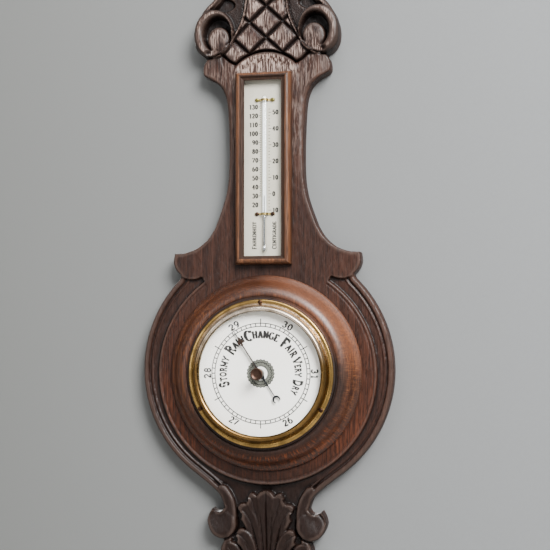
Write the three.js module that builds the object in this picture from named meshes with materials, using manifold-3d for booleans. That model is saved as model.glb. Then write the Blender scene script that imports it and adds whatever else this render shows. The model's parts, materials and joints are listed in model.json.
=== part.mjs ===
// A wall barometer: an aneroid movement and a thermometer in a carved oak case of banjo outline.
// Millimetres. The dial's axis meets the wall at the origin: +X right, +Z up, and the wall is the
// plane y = 0. The front faces -Y, so a depth of d in front of the wall is y = -d.

import * as THREE from 'three';
import { mergeVertices } from 'three/addons/utils/BufferGeometryUtils.js';
import Module from 'manifold-3d';

const wasm = await Module();
wasm.setup();

// ---------------------------------------------------------------- driving dimensions

const GAP = 0.3;                    // clearance between two pieces that touch

// The case: radii about the dial's axis, depths in front of the wall.
const DIAL_OPENING_R = 75.6;        // a 6 inch dial seen through the bezel
const BEZEL_R = 90;
const SURROUND_R = 120.5;
const FIELD_R = 138.5;
const STRAP_R = 159;
const STRAP_WIDTH = 14;
const STRAP_CENTRE_Z = 4;
const CAVITY_R = 66;                // bore through board and surround for the movement
const GROUND_D = 16;                // depth of the board's lowest carved ground
const FIELD_D = 22;                 // depth of its raised faces
const SURROUND_D = 52;              // front of the turned surround, where the bezel sits
const DIAL_D = 50;                  // printed face of the dial
const GLASS_D = 60.1;               // front of the glass
const CREST_TOP_Z = 530;
const TAIL_TIP_Z = -300;

// The thermometer box on the neck.
const FRAME_X = -1.5;               // the frame sits a little left of the case's centre line
const FRAME_HALF_WIDTH = 35.3;
const FRAME_BOTTOM_Z = 134;
const FRAME_TOP_Z = 374;
const SIDE_RAIL_WIDTH = 11.8;
const CROSS_RAIL_WIDTH = 10.4;
const FRAME_D = 36.4;               // the ridge along each rail

// The movement: d along the arbor, X across the lever, Z along the rocker shaft.
const BASE_R = 60;
const BASE_D = 5;
const PLATE = 2;                    // thickness of base plate
const CAPSULE_R = 28;
const SPRING_BEND_X = -50;
const SPRING_HALF_WIDTH = 18;
const SPRING_THICKNESS = 1.2;
const LEVER_Z = -10;
const LINK_X = 50;
const ROCKER_X = 46;
const ROCKER_D = 14;
const CHAIN_D = 38;
const DRUM_R = 1.7;
const CHAIN_HALF = 0.4;
const HAND_ANGLE = 33;              // degrees anticlockwise of the top, for 28.95 inches
const SET_HAND_ANGLE = 32.2;

const BASE_TOP_D = BASE_D + PLATE;
const SEAT_D = BASE_TOP_D + GAP;    // where pieces stand on the base plate
const CHAIN_Z = DRUM_R + GAP + CHAIN_HALF;

// ---------------------------------------------------------------- materials

const OAK = [0x55392f, 0.55, 0];
const TURNED_OAK = [0x6e3d28, 0.4, 0];
const SATIN_WOOD = [0x8c5a3c, 0.45, 0];
const BRASS = [0xbe9650, 0.35, 1];
const BRIGHT_BRASS = [0xd0a85c, 0.25, 1];
const STEEL = [0x8a8c90, 0.35, 1];
const BLUED_STEEL = [0x3a3c44, 0.35, 1];
const NICKEL = [0xb8b6ae, 0.3, 1];
const TINPLATE = [0x9c9a94, 0.45, 1];
const CARD_WHITE = [0xe8e4dc, 0.5, 0];
const GLASS = [0xe8f0ee, 0.05, 0];
const MERCURY = [0xc8ccd0, 0.1, 1];
const COPPERY = [0x6a3e2a, 0.35, 1];

function piece(name, geometry, [color, roughness, metalness]) {
  const mesh = new THREE.Mesh(geometry, new THREE.MeshStandardMaterial({ color, roughness, metalness }));
  mesh.name = name;
  return mesh;
}

// ---------------------------------------------------------------- solids

function signedVolume(geometry) {
  const p = geometry.attributes.position;
  const a = new THREE.Vector3();
  const b = new THREE.Vector3();
  const c = new THREE.Vector3();
  let sum = 0;
  for (let i = 0; i < geometry.index.count; i += 3) {
    a.fromBufferAttribute(p, geometry.index.getX(i));
    b.fromBufferAttribute(p, geometry.index.getX(i + 1));
    c.fromBufferAttribute(p, geometry.index.getX(i + 2));
    sum += a.dot(b.cross(c)) / 6;
  }
  return sum;
}

// A geometry with shared vertices merged and its faces pointing out.
function closed(geometry) {
  geometry.deleteAttribute('normal');
  geometry.deleteAttribute('uv');
  const merged = mergeVertices(geometry, 1e-4);
  if (signedVolume(merged) < 0) merged.index.array.reverse();
  return merged;
}

function toSolid(geometry) {
  const merged = closed(geometry);
  const vertProperties = new Float32Array(merged.attributes.position.array);
  const triVerts = new Uint32Array(merged.index.array);
  return new wasm.Manifold(new wasm.Mesh({ numProp: 3, vertProperties, triVerts }));
}

function fromSolid(solid) {
  const mesh = solid.getMesh();
  const geometry = new THREE.BufferGeometry();
  geometry.setAttribute('position', new THREE.BufferAttribute(mesh.vertProperties, 3));
  geometry.setIndex(new THREE.BufferAttribute(mesh.triVerts, 1));
  return geometry;
}

function join(...geometries) {
  return fromSolid(geometries.map(toSolid).reduce((whole, next) => whole.add(next)));
}

function cut(geometry, ...tools) {
  return fromSolid(tools.map(toSolid).reduce((whole, tool) => whole.subtract(tool), toSolid(geometry)));
}

// A flat shape drawn in X and Z, standing from depth d0 to depth d1.
function slab(shape, d0, d1, curveSegments = 12) {
  const geometry = new THREE.ExtrudeGeometry(shape, { depth: d1 - d0, bevelEnabled: false, curveSegments });
  return closed(geometry.translate(0, 0, d0).rotateX(Math.PI / 2));
}

// A section drawn in X and depth, drawn out upwards from z0 to z1.
function section(shape, z0, z1, curveSegments = 6) {
  const geometry = new THREE.ExtrudeGeometry(shape, { depth: z1 - z0, bevelEnabled: false, curveSegments });
  const basis = new THREE.Matrix4().makeBasis(
    new THREE.Vector3(1, 0, 0),
    new THREE.Vector3(0, -1, 0),
    new THREE.Vector3(0, 0, 1),
  );
  return closed(geometry.applyMatrix4(basis).translate(0, 0, z0));
}

// A block given by its corners in X, depth and Z.
function block(x0, x1, d0, d1, z0, z1) {
  const geometry = new THREE.BoxGeometry(x1 - x0, d1 - d0, z1 - z0);
  return closed(geometry.translate((x0 + x1) / 2, -(d0 + d1) / 2, (z0 + z1) / 2));
}

// A solid of revolution about the depth axis through (x, z); the profile is [radius, depth] pairs.
function turned(profile, segments = 24, x = 0, z = 0) {
  const points = profile.map(([r, d]) => new THREE.Vector2(r, -d));
  return closed(new THREE.LatheGeometry(points, segments).translate(x, 0, z));
}

function rod(r, d0, d1, x = 0, z = 0, segments = 16) {
  return turned([[0, d0], [r, d0], [r, d1], [0, d1]], segments, x, z);
}

function washer(inner, outer, d0, d1, segments = 48) {
  return turned([[inner, d0], [outer, d0], [outer, d1], [inner, d1], [inner, d0]], segments);
}

// The same about an upright axis through (x, depth d); the profile is [radius, z] pairs.
function turnedUpright(profile, x, d, segments = 16) {
  const points = profile.map(([r, z]) => new THREE.Vector2(r, z));
  return closed(new THREE.LatheGeometry(points, segments).rotateX(Math.PI / 2).translate(x, -d, 0));
}

function polar(radius, degrees) {
  const angle = THREE.MathUtils.degToRad(degrees);
  return [radius * Math.cos(angle), radius * Math.sin(angle)];
}

// ---------------------------------------------------------------- screws

// A slotted screw along the depth axis: the head's flat face is at headD and the tip at tipD.
function screw(x, z, headD, tipD, headR, shankR) {
  const inward = Math.sign(tipD - headD);
  const headHeight = headR - shankR;
  const body = turned([
    [0, headD],
    [headR, headD],
    [headR, headD + inward * 0.25],
    [shankR, headD + inward * (headHeight + 0.25)],
    [shankR, tipD - inward * shankR],
    [0, tipD],
  ], 8, x, z);
  const slotDepth = headHeight * 0.6;
  const slot = block(x - headR, x + headR, headD - slotDepth, headD + slotDepth, z - 0.35, z + 0.35);
  return cut(body, slot);
}

// The countersunk hole that such a screw goes through.
function screwHole(x, z, headD, tipD, headR, shankR) {
  const inward = Math.sign(tipD - headD);
  const headHeight = headR - shankR;
  return turned([
    [0, headD - inward],
    [headR + GAP, headD - inward],
    [headR + GAP, headD + inward * 0.3],
    [shankR + GAP, headD + inward * (headHeight + 0.3)],
    [shankR + GAP, tipD + inward * GAP],
    [0, tipD + inward * GAP],
  ], 8, x, z);
}

// ---------------------------------------------------------------- the carved board

// The case's outline from the crest's tip down the right side to the tail's tip.
function rightOutline() {
  const v = (x, z) => new THREE.Vector2(x, z);
  const path = new THREE.Path();
  path.moveTo(0, CREST_TOP_Z);
  path.splineThru([v(10, CREST_TOP_Z - 4), v(16, CREST_TOP_Z - 13), v(17, CREST_TOP_Z - 21)]);
  path.splineThru([v(26, CREST_TOP_Z - 17), v(34, CREST_TOP_Z - 22), v(35, CREST_TOP_Z - 33)]);
  path.splineThru([v(52, 490), v(67.6, 471), v(79, 460), v(88, 446)]);
  path.splineThru([v(92.5, 430), v(92, 414), v(86, 403), v(75, 396.5)]);
  path.splineThru([v(80.5, 389), v(81.3, 376.5), v(75, 371.5)]);
  path.splineThru([v(64, 365), v(55, 353.5), v(49.6, 330), v(47.3, 266), v(50.6, 224), v(64.7, 182)]);
  path.splineThru([v(74.2, 167.5), v(88, 156), v(104, 150), v(118, 149)]);
  path.splineThru([v(119.3, 138), v(116, 128.5), v(109.5, 121.5)]);
  const start = Math.PI / 4;
  const arcs = 4;
  const turn = THREE.MathUtils.degToRad(100.5) / arcs;
  for (let i = 0; i < arcs; i += 1) {
    path.absarc(0, STRAP_CENTRE_Z, STRAP_R, start - i * turn, start - (i + 1) * turn, true);
  }
  path.splineThru([v(71, -142), v(59, -153.5), v(53.5, -167.5)]);
  path.splineThru([v(57, -172.6), v(63, -173.6), v(69.5, -169.5)]);
  path.splineThru([v(74, -178), v(75, -188), v(67, -202), v(54, -208)]);
  path.splineThru([v(58.5, -220), v(54, -233), v(43, -240)]);
  path.splineThru([v(44.5, -250), v(39, -261), v(28, -265.5)]);
  path.splineThru([v(27, -277), v(15, -291), v(0, TAIL_TIP_Z)]);
  return path.getPoints(2);
}

function caseShape() {
  const right = rightOutline();
  const left = right.slice(1, -1).reverse().map((p) => new THREE.Vector2(-p.x, p.y));
  return new THREE.Shape([...right, ...left]);
}

const COVER_R = 73.4;
const COVER_D = [0, 1.2];
const COVER_SCREWS = [90, 210, 330].map((angle) => polar(70, angle));
const COVER_SCREW = [0.05, 11, 2.2, 1];   // depths of head and tip, radii of head and shank
const HANGER_Z = [440, 490];
const HANGER_HALF_WIDTH = 11;
const HANGER_D = [0.9, 2.7];
const HANGER_SCREWS = [[0, 446], [0, 484]];
const HANGER_SCREW = [0.6, 15, 3, 1.4];
const KEYHOLE_Z = 462;
const KEYHOLE_R = 4.5;
const SLOT_HALF = 2.2;              // half width of the keyhole's slot
const SLOT_RISE = 10;
const CREST_SCROLL = [66, 427, 24, 29];      // x, z, radius and depth of the raised scrolls
const TAIL_SCROLL = [56, -187.5, 17.5, 26];
const NECK_FLOOR_Z = 114;           // the sunk field ends here, under the neck
const TAIL_HALF = 42;               // half width of the raised ground behind the leaf

function caseBoard() {
  const strapInnerR = STRAP_R - STRAP_WIDTH;
  const groove = cut(
    rod(strapInnerR, GROUND_D, FIELD_D + 9, 0, 0, 48).translate(0, 0, STRAP_CENTRE_Z),
    rod(FIELD_R, 0, FIELD_D + 10, 0, 0, 48),
    block(-STRAP_R, STRAP_R, 0, FIELD_D + 10, NECK_FLOOR_Z, STRAP_R),
    block(-TAIL_HALF, TAIL_HALF, 0, FIELD_D + 10, -STRAP_R, -SURROUND_R),
  );
  const roundOver = 4;
  const boss = (side, [x, z, r, d]) => turned(
    [[0, 1], [r, 1], [r, d - roundOver], [r - roundOver, d], [0, d]],
    20, side * x, z,
  );
  const volutes = [-1, 1].flatMap((side) => [boss(side, CREST_SCROLL), boss(side, TAIL_SCROLL)]);
  const wood = join(slab(caseShape(), 0, FIELD_D), ...volutes);
  return cut(
    wood,
    groove,
    rod(CAVITY_R, -1, FIELD_D + 9, 0, 0, 40),
    rod(COVER_R + GAP, -1, COVER_D[1] + GAP, 0, 0, 40),
    block(-HANGER_HALF_WIDTH - GAP, HANGER_HALF_WIDTH + GAP, -1, HANGER_D[1] + GAP,
      HANGER_Z[0] - GAP, HANGER_Z[1] + GAP),
    rod(KEYHOLE_R + 1.5, 0, 12, 0, KEYHOLE_Z),
    ...COVER_SCREWS.map(([x, z]) => rod(COVER_SCREW[3] + GAP, 0, COVER_SCREW[1] + 1 + GAP, x, z, 8)),
    ...HANGER_SCREWS.map(([x, z]) => rod(HANGER_SCREW[3] + GAP, 0, HANGER_SCREW[1] + 1 + GAP, x, z, 8)),
  );
}

// ---------------------------------------------------------------- surround, bezel, glass, dial

const BEZEL_SCREW_R = 86.6;
const BEZEL_SCREWS = [90, 210, 330].map((angle) => polar(BEZEL_SCREW_R, angle));
const BEZEL_FLANGE_D = SURROUND_D + 2.2;
const DIAL_PLATE_R = 77.2;
const DIAL_THICKNESS = 1.2;
const BEZEL_SCREW = [BEZEL_FLANGE_D, SURROUND_D - 6, 2.4, 1];
const BEZEL_GLASS = 2.8;            // thickness of the dial's glass
const GLASS_HOLE_R = 4.8;           // for the bush of the set knob
const DIAL_HOLE_R = 3;
const DIAL_RECESS_R = DIAL_PLATE_R + 0.8;

function turnedSurround() {
  const back = FIELD_D + GAP;
  const shelf = DIAL_D - DIAL_THICKNESS - GAP;
  const ring = turned([
    [CAVITY_R, back], [SURROUND_R, back], [SURROUND_R, back + 2.5], [SURROUND_R - 1.5, back + 4.5],
    [117, 28.2], [113, 32], [110.5, 36.5], [108, 40.5], [104.5, 44], [100, 46.4], [95.5, 47.2],
    [93.5, 46.8], [92.6, 47.6], [92, SURROUND_D - 0.6], [91.4, SURROUND_D],
    [DIAL_RECESS_R, SURROUND_D], [DIAL_RECESS_R, shelf], [CAVITY_R, shelf], [CAVITY_R, back],
  ], 36);
  return cut(ring, ...BEZEL_SCREWS.map(([x, z]) => rod(BEZEL_SCREW[3] + GAP, 40, 60, x, z, 8)));
}

function bezel() {
  const back = SURROUND_D + GAP;
  const seatR = DIAL_OPENING_R + 2;
  const lipD = GLASS_D + GAP;
  const ring = turned([
    [BEZEL_R, back], [BEZEL_R, back + 1], [BEZEL_R - 0.8, BEZEL_FLANGE_D],
    [84, BEZEL_FLANGE_D], [83.4, BEZEL_FLANGE_D + 1.4], [82.4, 58.4], [81.2, 61.2], [79.6, 62.9], [78.6, 63],
    [DIAL_OPENING_R, lipD + 0.8], [DIAL_OPENING_R, lipD], [seatR, lipD], [seatR, back], [BEZEL_R, back],
  ], 36);
  return cut(ring, ...BEZEL_SCREWS.map(([x, z]) => screwHole(x, z, ...BEZEL_SCREW)));
}

function bezelGlass() {
  const back = GLASS_D - BEZEL_GLASS;
  const edgeR = DIAL_OPENING_R + 1.6;
  return turned([
    [GLASS_HOLE_R, back], [edgeR, back], [edgeR, GLASS_D - 1.2], [DIAL_OPENING_R - 6, GLASS_D],
    [GLASS_HOLE_R, GLASS_D], [GLASS_HOLE_R, back],
  ], 40);
}

function glassRing() {
  const front = GLASS_D - BEZEL_GLASS - GAP;
  const thickness = 1.2;
  return washer(DIAL_OPENING_R + 0.2, DIAL_OPENING_R + 1.6, front - thickness, front, 40);
}

function dialPlate() {
  return washer(DIAL_HOLE_R, DIAL_PLATE_R, DIAL_D - DIAL_THICKNESS, DIAL_D, 40);
}

// ---------------------------------------------------------------- the two hands and the set knob

const ARBOR_R = 1.4;
const KNOB_SHAFT_R = 2.2;
const BUSH_FLANGE = 1.3;
const HUB_R = 5;                    // the round middle of each hand

// A flat shape drawn pointing up, turned anticlockwise about the dial's axis.
function pointer(shape, d0, d1, degrees, boreR) {
  const blade = slab(shape, d0, d1, 8).rotateY(-THREE.MathUtils.degToRad(degrees));
  return cut(blade, rod(boreR, d0 - 1, d1 + 1, 0, 0, 16));
}

// The indicating hand: a tapered blade, and a tail that ends in an open crescent.
function indicatingHand() {
  const tipR = 60.5;
  const tailR = 37;
  const crescentR = 5;
  const shape = new THREE.Shape();
  shape.moveTo(0, tipR);
  shape.lineTo(-1, tipR - 5);
  shape.lineTo(-1.4, 14);
  shape.quadraticCurveTo(-1.6, 6, -4, 3);
  shape.absarc(0, 0, HUB_R, Math.PI * 0.8, Math.PI * 1.3, false);
  shape.lineTo(-1.2, -10);
  shape.lineTo(-0.9, -tailR + crescentR);
  shape.absarc(0, -tailR, crescentR, Math.PI * 0.56, Math.PI * 1.3, false);
  shape.absarc(0, -tailR, crescentR - 1.4, Math.PI * 1.3, Math.PI * 1.7, true);
  shape.absarc(0, -tailR, crescentR, Math.PI * 1.7, Math.PI * 2.44, false);
  shape.lineTo(1.2, -10);
  shape.absarc(0, 0, HUB_R, Math.PI * 1.7, Math.PI * 2.2, false);
  shape.quadraticCurveTo(1.6, 6, 1.4, 14);
  shape.lineTo(1, tipR - 5);
  return pointer(shape, DIAL_D + 2.4, DIAL_D + 3.2, HAND_ANGLE, ARBOR_R + GAP);
}

// The set hand: a slim blade with a spade near its tip.
function setHand() {
  const tipR = 52;
  const spadeR = tipR - 12;         // radius of the spade's shoulders
  const shape = new THREE.Shape();
  shape.moveTo(0, tipR);
  shape.quadraticCurveTo(-1.2, tipR - 7, -4, spadeR);
  shape.quadraticCurveTo(-2.6, spadeR - 2, -1, spadeR);
  shape.lineTo(-1.1, HUB_R);
  shape.absarc(0, 0, HUB_R + 0.2, Math.PI * 0.57, Math.PI * 2.43, false);
  shape.lineTo(1, spadeR);
  shape.quadraticCurveTo(2.6, spadeR - 2, 4, spadeR);
  shape.quadraticCurveTo(1.2, tipR - 7, 0, tipR);
  return pointer(shape, DIAL_D + 5.6, DIAL_D + 6.4, SET_HAND_ANGLE, KNOB_SHAFT_R + GAP);
}

function setBush() {
  const back = GLASS_D - BEZEL_GLASS;
  const front = GLASS_D + GAP;
  const bore = KNOB_SHAFT_R + GAP + 0.1;
  const neckR = GLASS_HOLE_R - GAP - 0.1;
  const flangeR = GLASS_HOLE_R + 1;
  return turned([
    [bore, back], [neckR, back], [neckR, front], [flangeR, front], [flangeR, front + 0.8],
    [flangeR - 0.6, front + BUSH_FLANGE], [bore, front + BUSH_FLANGE], [bore, back],
  ], 20);
}

function setKnob() {
  const skirt = GLASS_D + GAP + BUSH_FLANGE + 0.5;
  const end = DIAL_D + 5.2;
  return turned([
    [0, end], [KNOB_SHAFT_R, end], [KNOB_SHAFT_R, skirt], [4.4, skirt], [4.6, skirt + 1.4], [3.7, skirt + 3.4],
    [4.2, skirt + 5.4], [6.4, skirt + 7.4], [7.5, skirt + 9], [7.5, skirt + 10.8], [7, skirt + 11.7],
    [6.2, skirt + 11.9], [4.5, skirt + 11.1], [0, skirt + 10.7],
  ], 24);
}

// ---------------------------------------------------------------- thermometer

const INNER_HALF = FRAME_HALF_WIDTH - SIDE_RAIL_WIDTH;
const REBATE = 2.6;                 // step inside each rail that holds glass and scale
const REBATE_D = 32.2;
const TUBE_X = -0.5;
const TUBE_D = 27;                  // depth of the tube's axis
const TUBE_R = 2.2;
const BORE_R = 0.9;
const THREAD_R = 0.5;
const BULB_Z = 153;
const BULB_R = 2.9;
const TUBE_TOP_Z = 346;
const MERCURY_Z = 220;              // where the mercury stands at rest
const SCALE_D = [22.6, 23.8];
const CLIPS = [340, 197];           // heights of the two clips
const CLIP_REACH = 12.8;
const CLIP_WIDTH = 4.4;
const CLIP_THICKNESS = 0.7;
const CLIP_SCREW_R = 0.9;
const CLIP_SCREW_HEAD_R = 2.5;
const CLIP_SCREW_OUT = 9.8;         // from the tube's axis to each screw

// A rail with a ridge along its middle, a quarter round outside it and a bevel inside it.
// Its outer edge is at x = 0 and its inner edge, with the rebate, at x = width.
function mouldedRail(width, length) {
  const back = FIELD_D + GAP;
  const profile = new THREE.Shape();
  profile.moveTo(0, back);
  profile.lineTo(0, FRAME_D - 7);
  profile.quadraticCurveTo(0.06 * width, FRAME_D - 1, 0.5 * width, FRAME_D);
  profile.lineTo(0.62 * width, FRAME_D - 0.3);
  profile.lineTo(width, FRAME_D - 3);
  profile.lineTo(width, REBATE_D);
  profile.lineTo(width - REBATE, REBATE_D);
  profile.lineTo(width - REBATE, back);
  profile.closePath();
  return section(profile, 0, length, 4);
}

function sideRail(side) {
  const rail = mouldedRail(SIDE_RAIL_WIDTH, FRAME_TOP_Z - FRAME_BOTTOM_Z);
  rail.translate(-FRAME_HALF_WIDTH, 0, FRAME_BOTTOM_Z);
  const placed = side < 0 ? rail : closed(rail.rotateZ(Math.PI).scale(1, -1, 1));
  return placed.translate(FRAME_X, 0, 0);
}

function crossRail(top) {
  const half = INNER_HALF - GAP;
  const rail = mouldedRail(CROSS_RAIL_WIDTH, 2 * half).rotateY(top ? Math.PI / 2 : -Math.PI / 2);
  return closed(rail.translate(FRAME_X + (top ? -half : half), 0, top ? FRAME_TOP_Z : FRAME_BOTTOM_Z));
}

// A flat panel that fills the rebate of the frame.
function panel(d0, d1) {
  const half = INNER_HALF + REBATE - 2 * GAP;
  const end = CROSS_RAIL_WIDTH - REBATE + 2 * GAP;
  return block(FRAME_X - half, FRAME_X + half, d0, d1, FRAME_BOTTOM_Z + end, FRAME_TOP_Z - end);
}

function thermometerGlass() {
  const thickness = 1.2;
  return panel(REBATE_D - GAP - thickness, REBATE_D - GAP);
}

function thermometerScale() {
  return cut(
    panel(...SCALE_D),
    ...CLIPS.flatMap((z) => clipScrewPlaces(z).map(([x]) => rod(CLIP_SCREW_R + GAP, 20, 30, x, z, 8))),
  );
}

function thermometerTube() {
  const glass = turnedUpright([
    [0, BULB_Z - 5], [BULB_R * 0.7, BULB_Z - 4], [BULB_R, BULB_Z - 1.5], [BULB_R, BULB_Z + 3],
    [TUBE_R, BULB_Z + 6], [TUBE_R, TUBE_TOP_Z - 1.5], [TUBE_R - 1, TUBE_TOP_Z], [0, TUBE_TOP_Z],
  ], TUBE_X, TUBE_D);
  const bore = turnedUpright([
    [0, BULB_Z - 3.6], [BULB_R - 0.8, BULB_Z - 1.5], [BULB_R - 0.8, BULB_Z + 3],
    [BORE_R, BULB_Z + 6], [BORE_R, TUBE_TOP_Z + 1], [0, TUBE_TOP_Z + 1],
  ], TUBE_X, TUBE_D);
  return cut(glass, bore);
}

function mercuryBulb() {
  return turnedUpright([
    [0, BULB_Z - 2.8], [BULB_R - 1.2, BULB_Z - 1.2], [BULB_R - 1.2, BULB_Z + 2.8],
    [THREAD_R, BULB_Z + 5], [0, BULB_Z + 5],
  ], TUBE_X, TUBE_D, 12);
}

function mercuryThread() {
  const low = BULB_Z + 5 + GAP;
  const high = MERCURY_Z - GAP - 0.8;
  return turnedUpright([
    [0, low], [THREAD_R, low], [THREAD_R, high], [0, high],
  ], TUBE_X, TUBE_D, 10);
}

function mercuryMeniscus() {
  return turnedUpright([
    [0, MERCURY_Z - 0.8], [THREAD_R, MERCURY_Z - 0.8], [THREAD_R, MERCURY_Z - 0.3], [0, MERCURY_Z],
  ], TUBE_X, TUBE_D, 10);
}

function clipScrewPlaces(z) {
  return [[TUBE_X - CLIP_SCREW_OUT, z], [TUBE_X + CLIP_SCREW_OUT, z]];
}

// A brass strap over the tube with an ear on each side.
function tubeClip(z) {
  const seat = SCALE_D[1] + GAP;
  const holeR = TUBE_R + GAP;
  const outerR = holeR + CLIP_THICKNESS;
  const strap = new THREE.Shape();
  strap.moveTo(-CLIP_REACH, seat);
  strap.lineTo(CLIP_REACH, seat);
  strap.lineTo(CLIP_REACH, seat + CLIP_THICKNESS);
  strap.lineTo(outerR, seat + CLIP_THICKNESS);
  strap.lineTo(outerR, TUBE_D);
  strap.absarc(0, TUBE_D, outerR, 0, Math.PI, false);
  strap.lineTo(-outerR, seat + CLIP_THICKNESS);
  strap.lineTo(-CLIP_REACH, seat + CLIP_THICKNESS);
  strap.closePath();
  const body = section(strap, z - CLIP_WIDTH / 2, z + CLIP_WIDTH / 2).translate(TUBE_X, 0, 0);
  const tunnel = turnedUpright([[0, z - 9], [holeR, z - 9], [holeR, z + 9], [0, z + 9]], TUBE_X, TUBE_D, 20);
  const behind = block(TUBE_X - holeR, TUBE_X + holeR, seat - 1, TUBE_D, z - 9, z + 9);
  const screwHoles = clipScrewPlaces(z).map(([x]) => rod(CLIP_SCREW_R + GAP, 20, 40, x, z, 8));
  return cut(body, tunnel, behind, ...screwHoles);
}

function clipScrew(x, z) {
  const ear = SCALE_D[1] + GAP + CLIP_THICKNESS + GAP;
  const tip = FIELD_D + GAP;
  return turned([
    [0, tip], [CLIP_SCREW_R, tip], [CLIP_SCREW_R, ear], [CLIP_SCREW_HEAD_R, ear],
    [CLIP_SCREW_HEAD_R, ear + 0.6], [CLIP_SCREW_HEAD_R - 1, ear + 1.3], [0, ear + 1.5],
  ], 8, x, z);
}

// ---------------------------------------------------------------- back of the case

function rearCover() {
  const plate = rod(COVER_R, ...COVER_D, 0, 0, 40);
  const access = rod(4, -1, 5, CALIBRATION_X, 0, 20);
  return cut(plate, access, ...COVER_SCREWS.map(([x, z]) => screwHole(x, z, ...COVER_SCREW)));
}

function hangerPlate() {
  const plate = block(-HANGER_HALF_WIDTH, HANGER_HALF_WIDTH, ...HANGER_D, ...HANGER_Z);
  return cut(
    plate,
    rod(KEYHOLE_R, -1, HANGER_D[1] + 1, 0, KEYHOLE_Z),
    block(-SLOT_HALF, SLOT_HALF, -1, HANGER_D[1] + 1, KEYHOLE_Z, KEYHOLE_Z + SLOT_RISE),
    ...HANGER_SCREWS.map(([x, z]) => screwHole(x, z, ...HANGER_SCREW)),
  );
}

// ---------------------------------------------------------------- the aneroid movement

const CALIBRATION_X = -44;
const POST_R = 2.5;                 // the capsule's post through the main spring
const PILLARS = [[38, 38], [-38, 38], [20, -50]];
const BRIDGE_HALF = 40;
const BRIDGE_D = 33;
const BRIDGE_SCREW_Z = BRIDGE_HALF + 5.5;
const BRIDGE_THICKNESS = 1.6;
const SCREW_R = 1.1;                // shank of the movement's small screws
const CALIBRATION_R = 2.5;

function basePlate() {
  return cut(
    rod(BASE_R, BASE_D, BASE_TOP_D, 0, 0, 36),
    rod(CALIBRATION_R + GAP, 0, 20, CALIBRATION_X, 0, 20),
    ...[-1, 1].map((side) => rod(SCREW_R + GAP, 0, 20, 0, side * BRIDGE_SCREW_Z, 8)),
  );
}

function dialPillar(x, z) {
  const top = DIAL_D - DIAL_THICKNESS - GAP;
  return turned([
    [0, SEAT_D], [3.6, SEAT_D], [3.6, SEAT_D + 1.6], [2.4, SEAT_D + 3], [2.4, top - 3], [3.6, top - 1.6],
    [3.6, top], [0, top],
  ], 12, x, z);
}

// One corrugated disc of the vacuum capsule, dished from its hub at hubD to its rim at rimD.
function corrugated(hubR, hubD, rimD, thickness) {
  const waves = 3;
  const steps = 9;
  const front = [];
  for (let i = 0; i <= steps; i += 1) {
    const t = i / steps;
    const r = hubR + (CAPSULE_R - 2 - hubR) * t;
    const dish = hubD + (rimD - hubD) * t ** 3;
    front.push([r, dish + 0.55 * Math.sin(t * waves * 2 * Math.PI)]);
  }
  front.push([CAPSULE_R, rimD]);
  const back = front.map(([r, d]) => [r, d + thickness]).reverse();
  return [front, back];
}

function capsuleLower() {
  const [under, over] = corrugated(4, 9.4, 13, 0.6);
  return turned([[0, SEAT_D], [4, SEAT_D], ...under, ...over, [0, 10]], 20);
}

function capsuleUpper() {
  const [under, over] = corrugated(4, 17.4, 14.9, 0.6);
  return turned([
    [0, 17.4], ...under, ...over, [POST_R, 18.4], [POST_R, 27.5], [4.6, 27.5], [4.6, 29.4], [0, 29.4],
  ], 20);
}

function calibrationScrew() {
  const slot = block(CALIBRATION_X - 4, CALIBRATION_X + 4, 2, 3.7, -0.5, 0.5);
  const body = turned([
    [0, 2.7], [3.4, 2.7], [3.4, BASE_D - GAP], [CALIBRATION_R, BASE_D - GAP], [CALIBRATION_R, 11],
    [CALIBRATION_R - 0.9, 12], [0, 12],
  ], 20, CALIBRATION_X, 0);
  return cut(body, slot);
}

const SPRING_SCREW_Z = 11;
const SPRING_FOOT_D = 14.3;
const SPRING_FOOT_X = [-52, -36];
const SPRING_TIP_X = 12;
const SPRING_BEND_R = 5.5;

function springBlock() {
  return cut(
    block(...SPRING_FOOT_X, SEAT_D, SPRING_FOOT_D, -SPRING_HALF_WIDTH, SPRING_HALF_WIDTH),
    rod(CALIBRATION_R + GAP, 0, 12.6, CALIBRATION_X, 0, 20),
    ...[-1, 1].map((side) => rod(SCREW_R + GAP, 9, 20, CALIBRATION_X, side * SPRING_SCREW_Z, 8)),
  );
}

// A strip of spring steel bent into a C: the foot on its block, the free leaf over the capsule.
function mainSpring() {
  const foot = SPRING_FOOT_D + GAP;
  const centreD = foot + SPRING_THICKNESS / 2 + SPRING_BEND_R;
  const outer = SPRING_BEND_R + SPRING_THICKNESS / 2;
  const inner = SPRING_BEND_R - SPRING_THICKNESS / 2;
  const side = new THREE.Shape();
  side.moveTo(SPRING_FOOT_X[1] - 1, centreD - outer);
  side.lineTo(SPRING_BEND_X, centreD - outer);
  side.absarc(SPRING_BEND_X, centreD, outer, -Math.PI / 2, Math.PI / 2, true);
  side.lineTo(SPRING_TIP_X, centreD + outer);
  side.lineTo(SPRING_TIP_X, centreD + inner);
  side.lineTo(SPRING_BEND_X, centreD + inner);
  side.absarc(SPRING_BEND_X, centreD, inner, Math.PI / 2, -Math.PI / 2, false);
  side.lineTo(SPRING_FOOT_X[1] - 1, centreD - inner);
  side.closePath();
  return cut(
    section(side, -SPRING_HALF_WIDTH, SPRING_HALF_WIDTH),
    rod(POST_R + 0.8, 24, 30, 0, 0, 20),
    ...[-1, 1].map((side) => rod(SCREW_R + 0.5, 10, 17, CALIBRATION_X, side * SPRING_SCREW_Z, 8)),
  );
}

// A cheese-head screw of the movement, from its tip to the seat of its head.
function smallScrew(x, z, tipD, seatD) {
  const headR = 2.6;
  return turned([
    [0, tipD], [SCREW_R, tipD], [SCREW_R, seatD], [headR, seatD], [headR, seatD + 1.3],
    [headR - 0.7, seatD + 1.8], [0, seatD + 1.8],
  ], 8, x, z);
}

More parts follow.
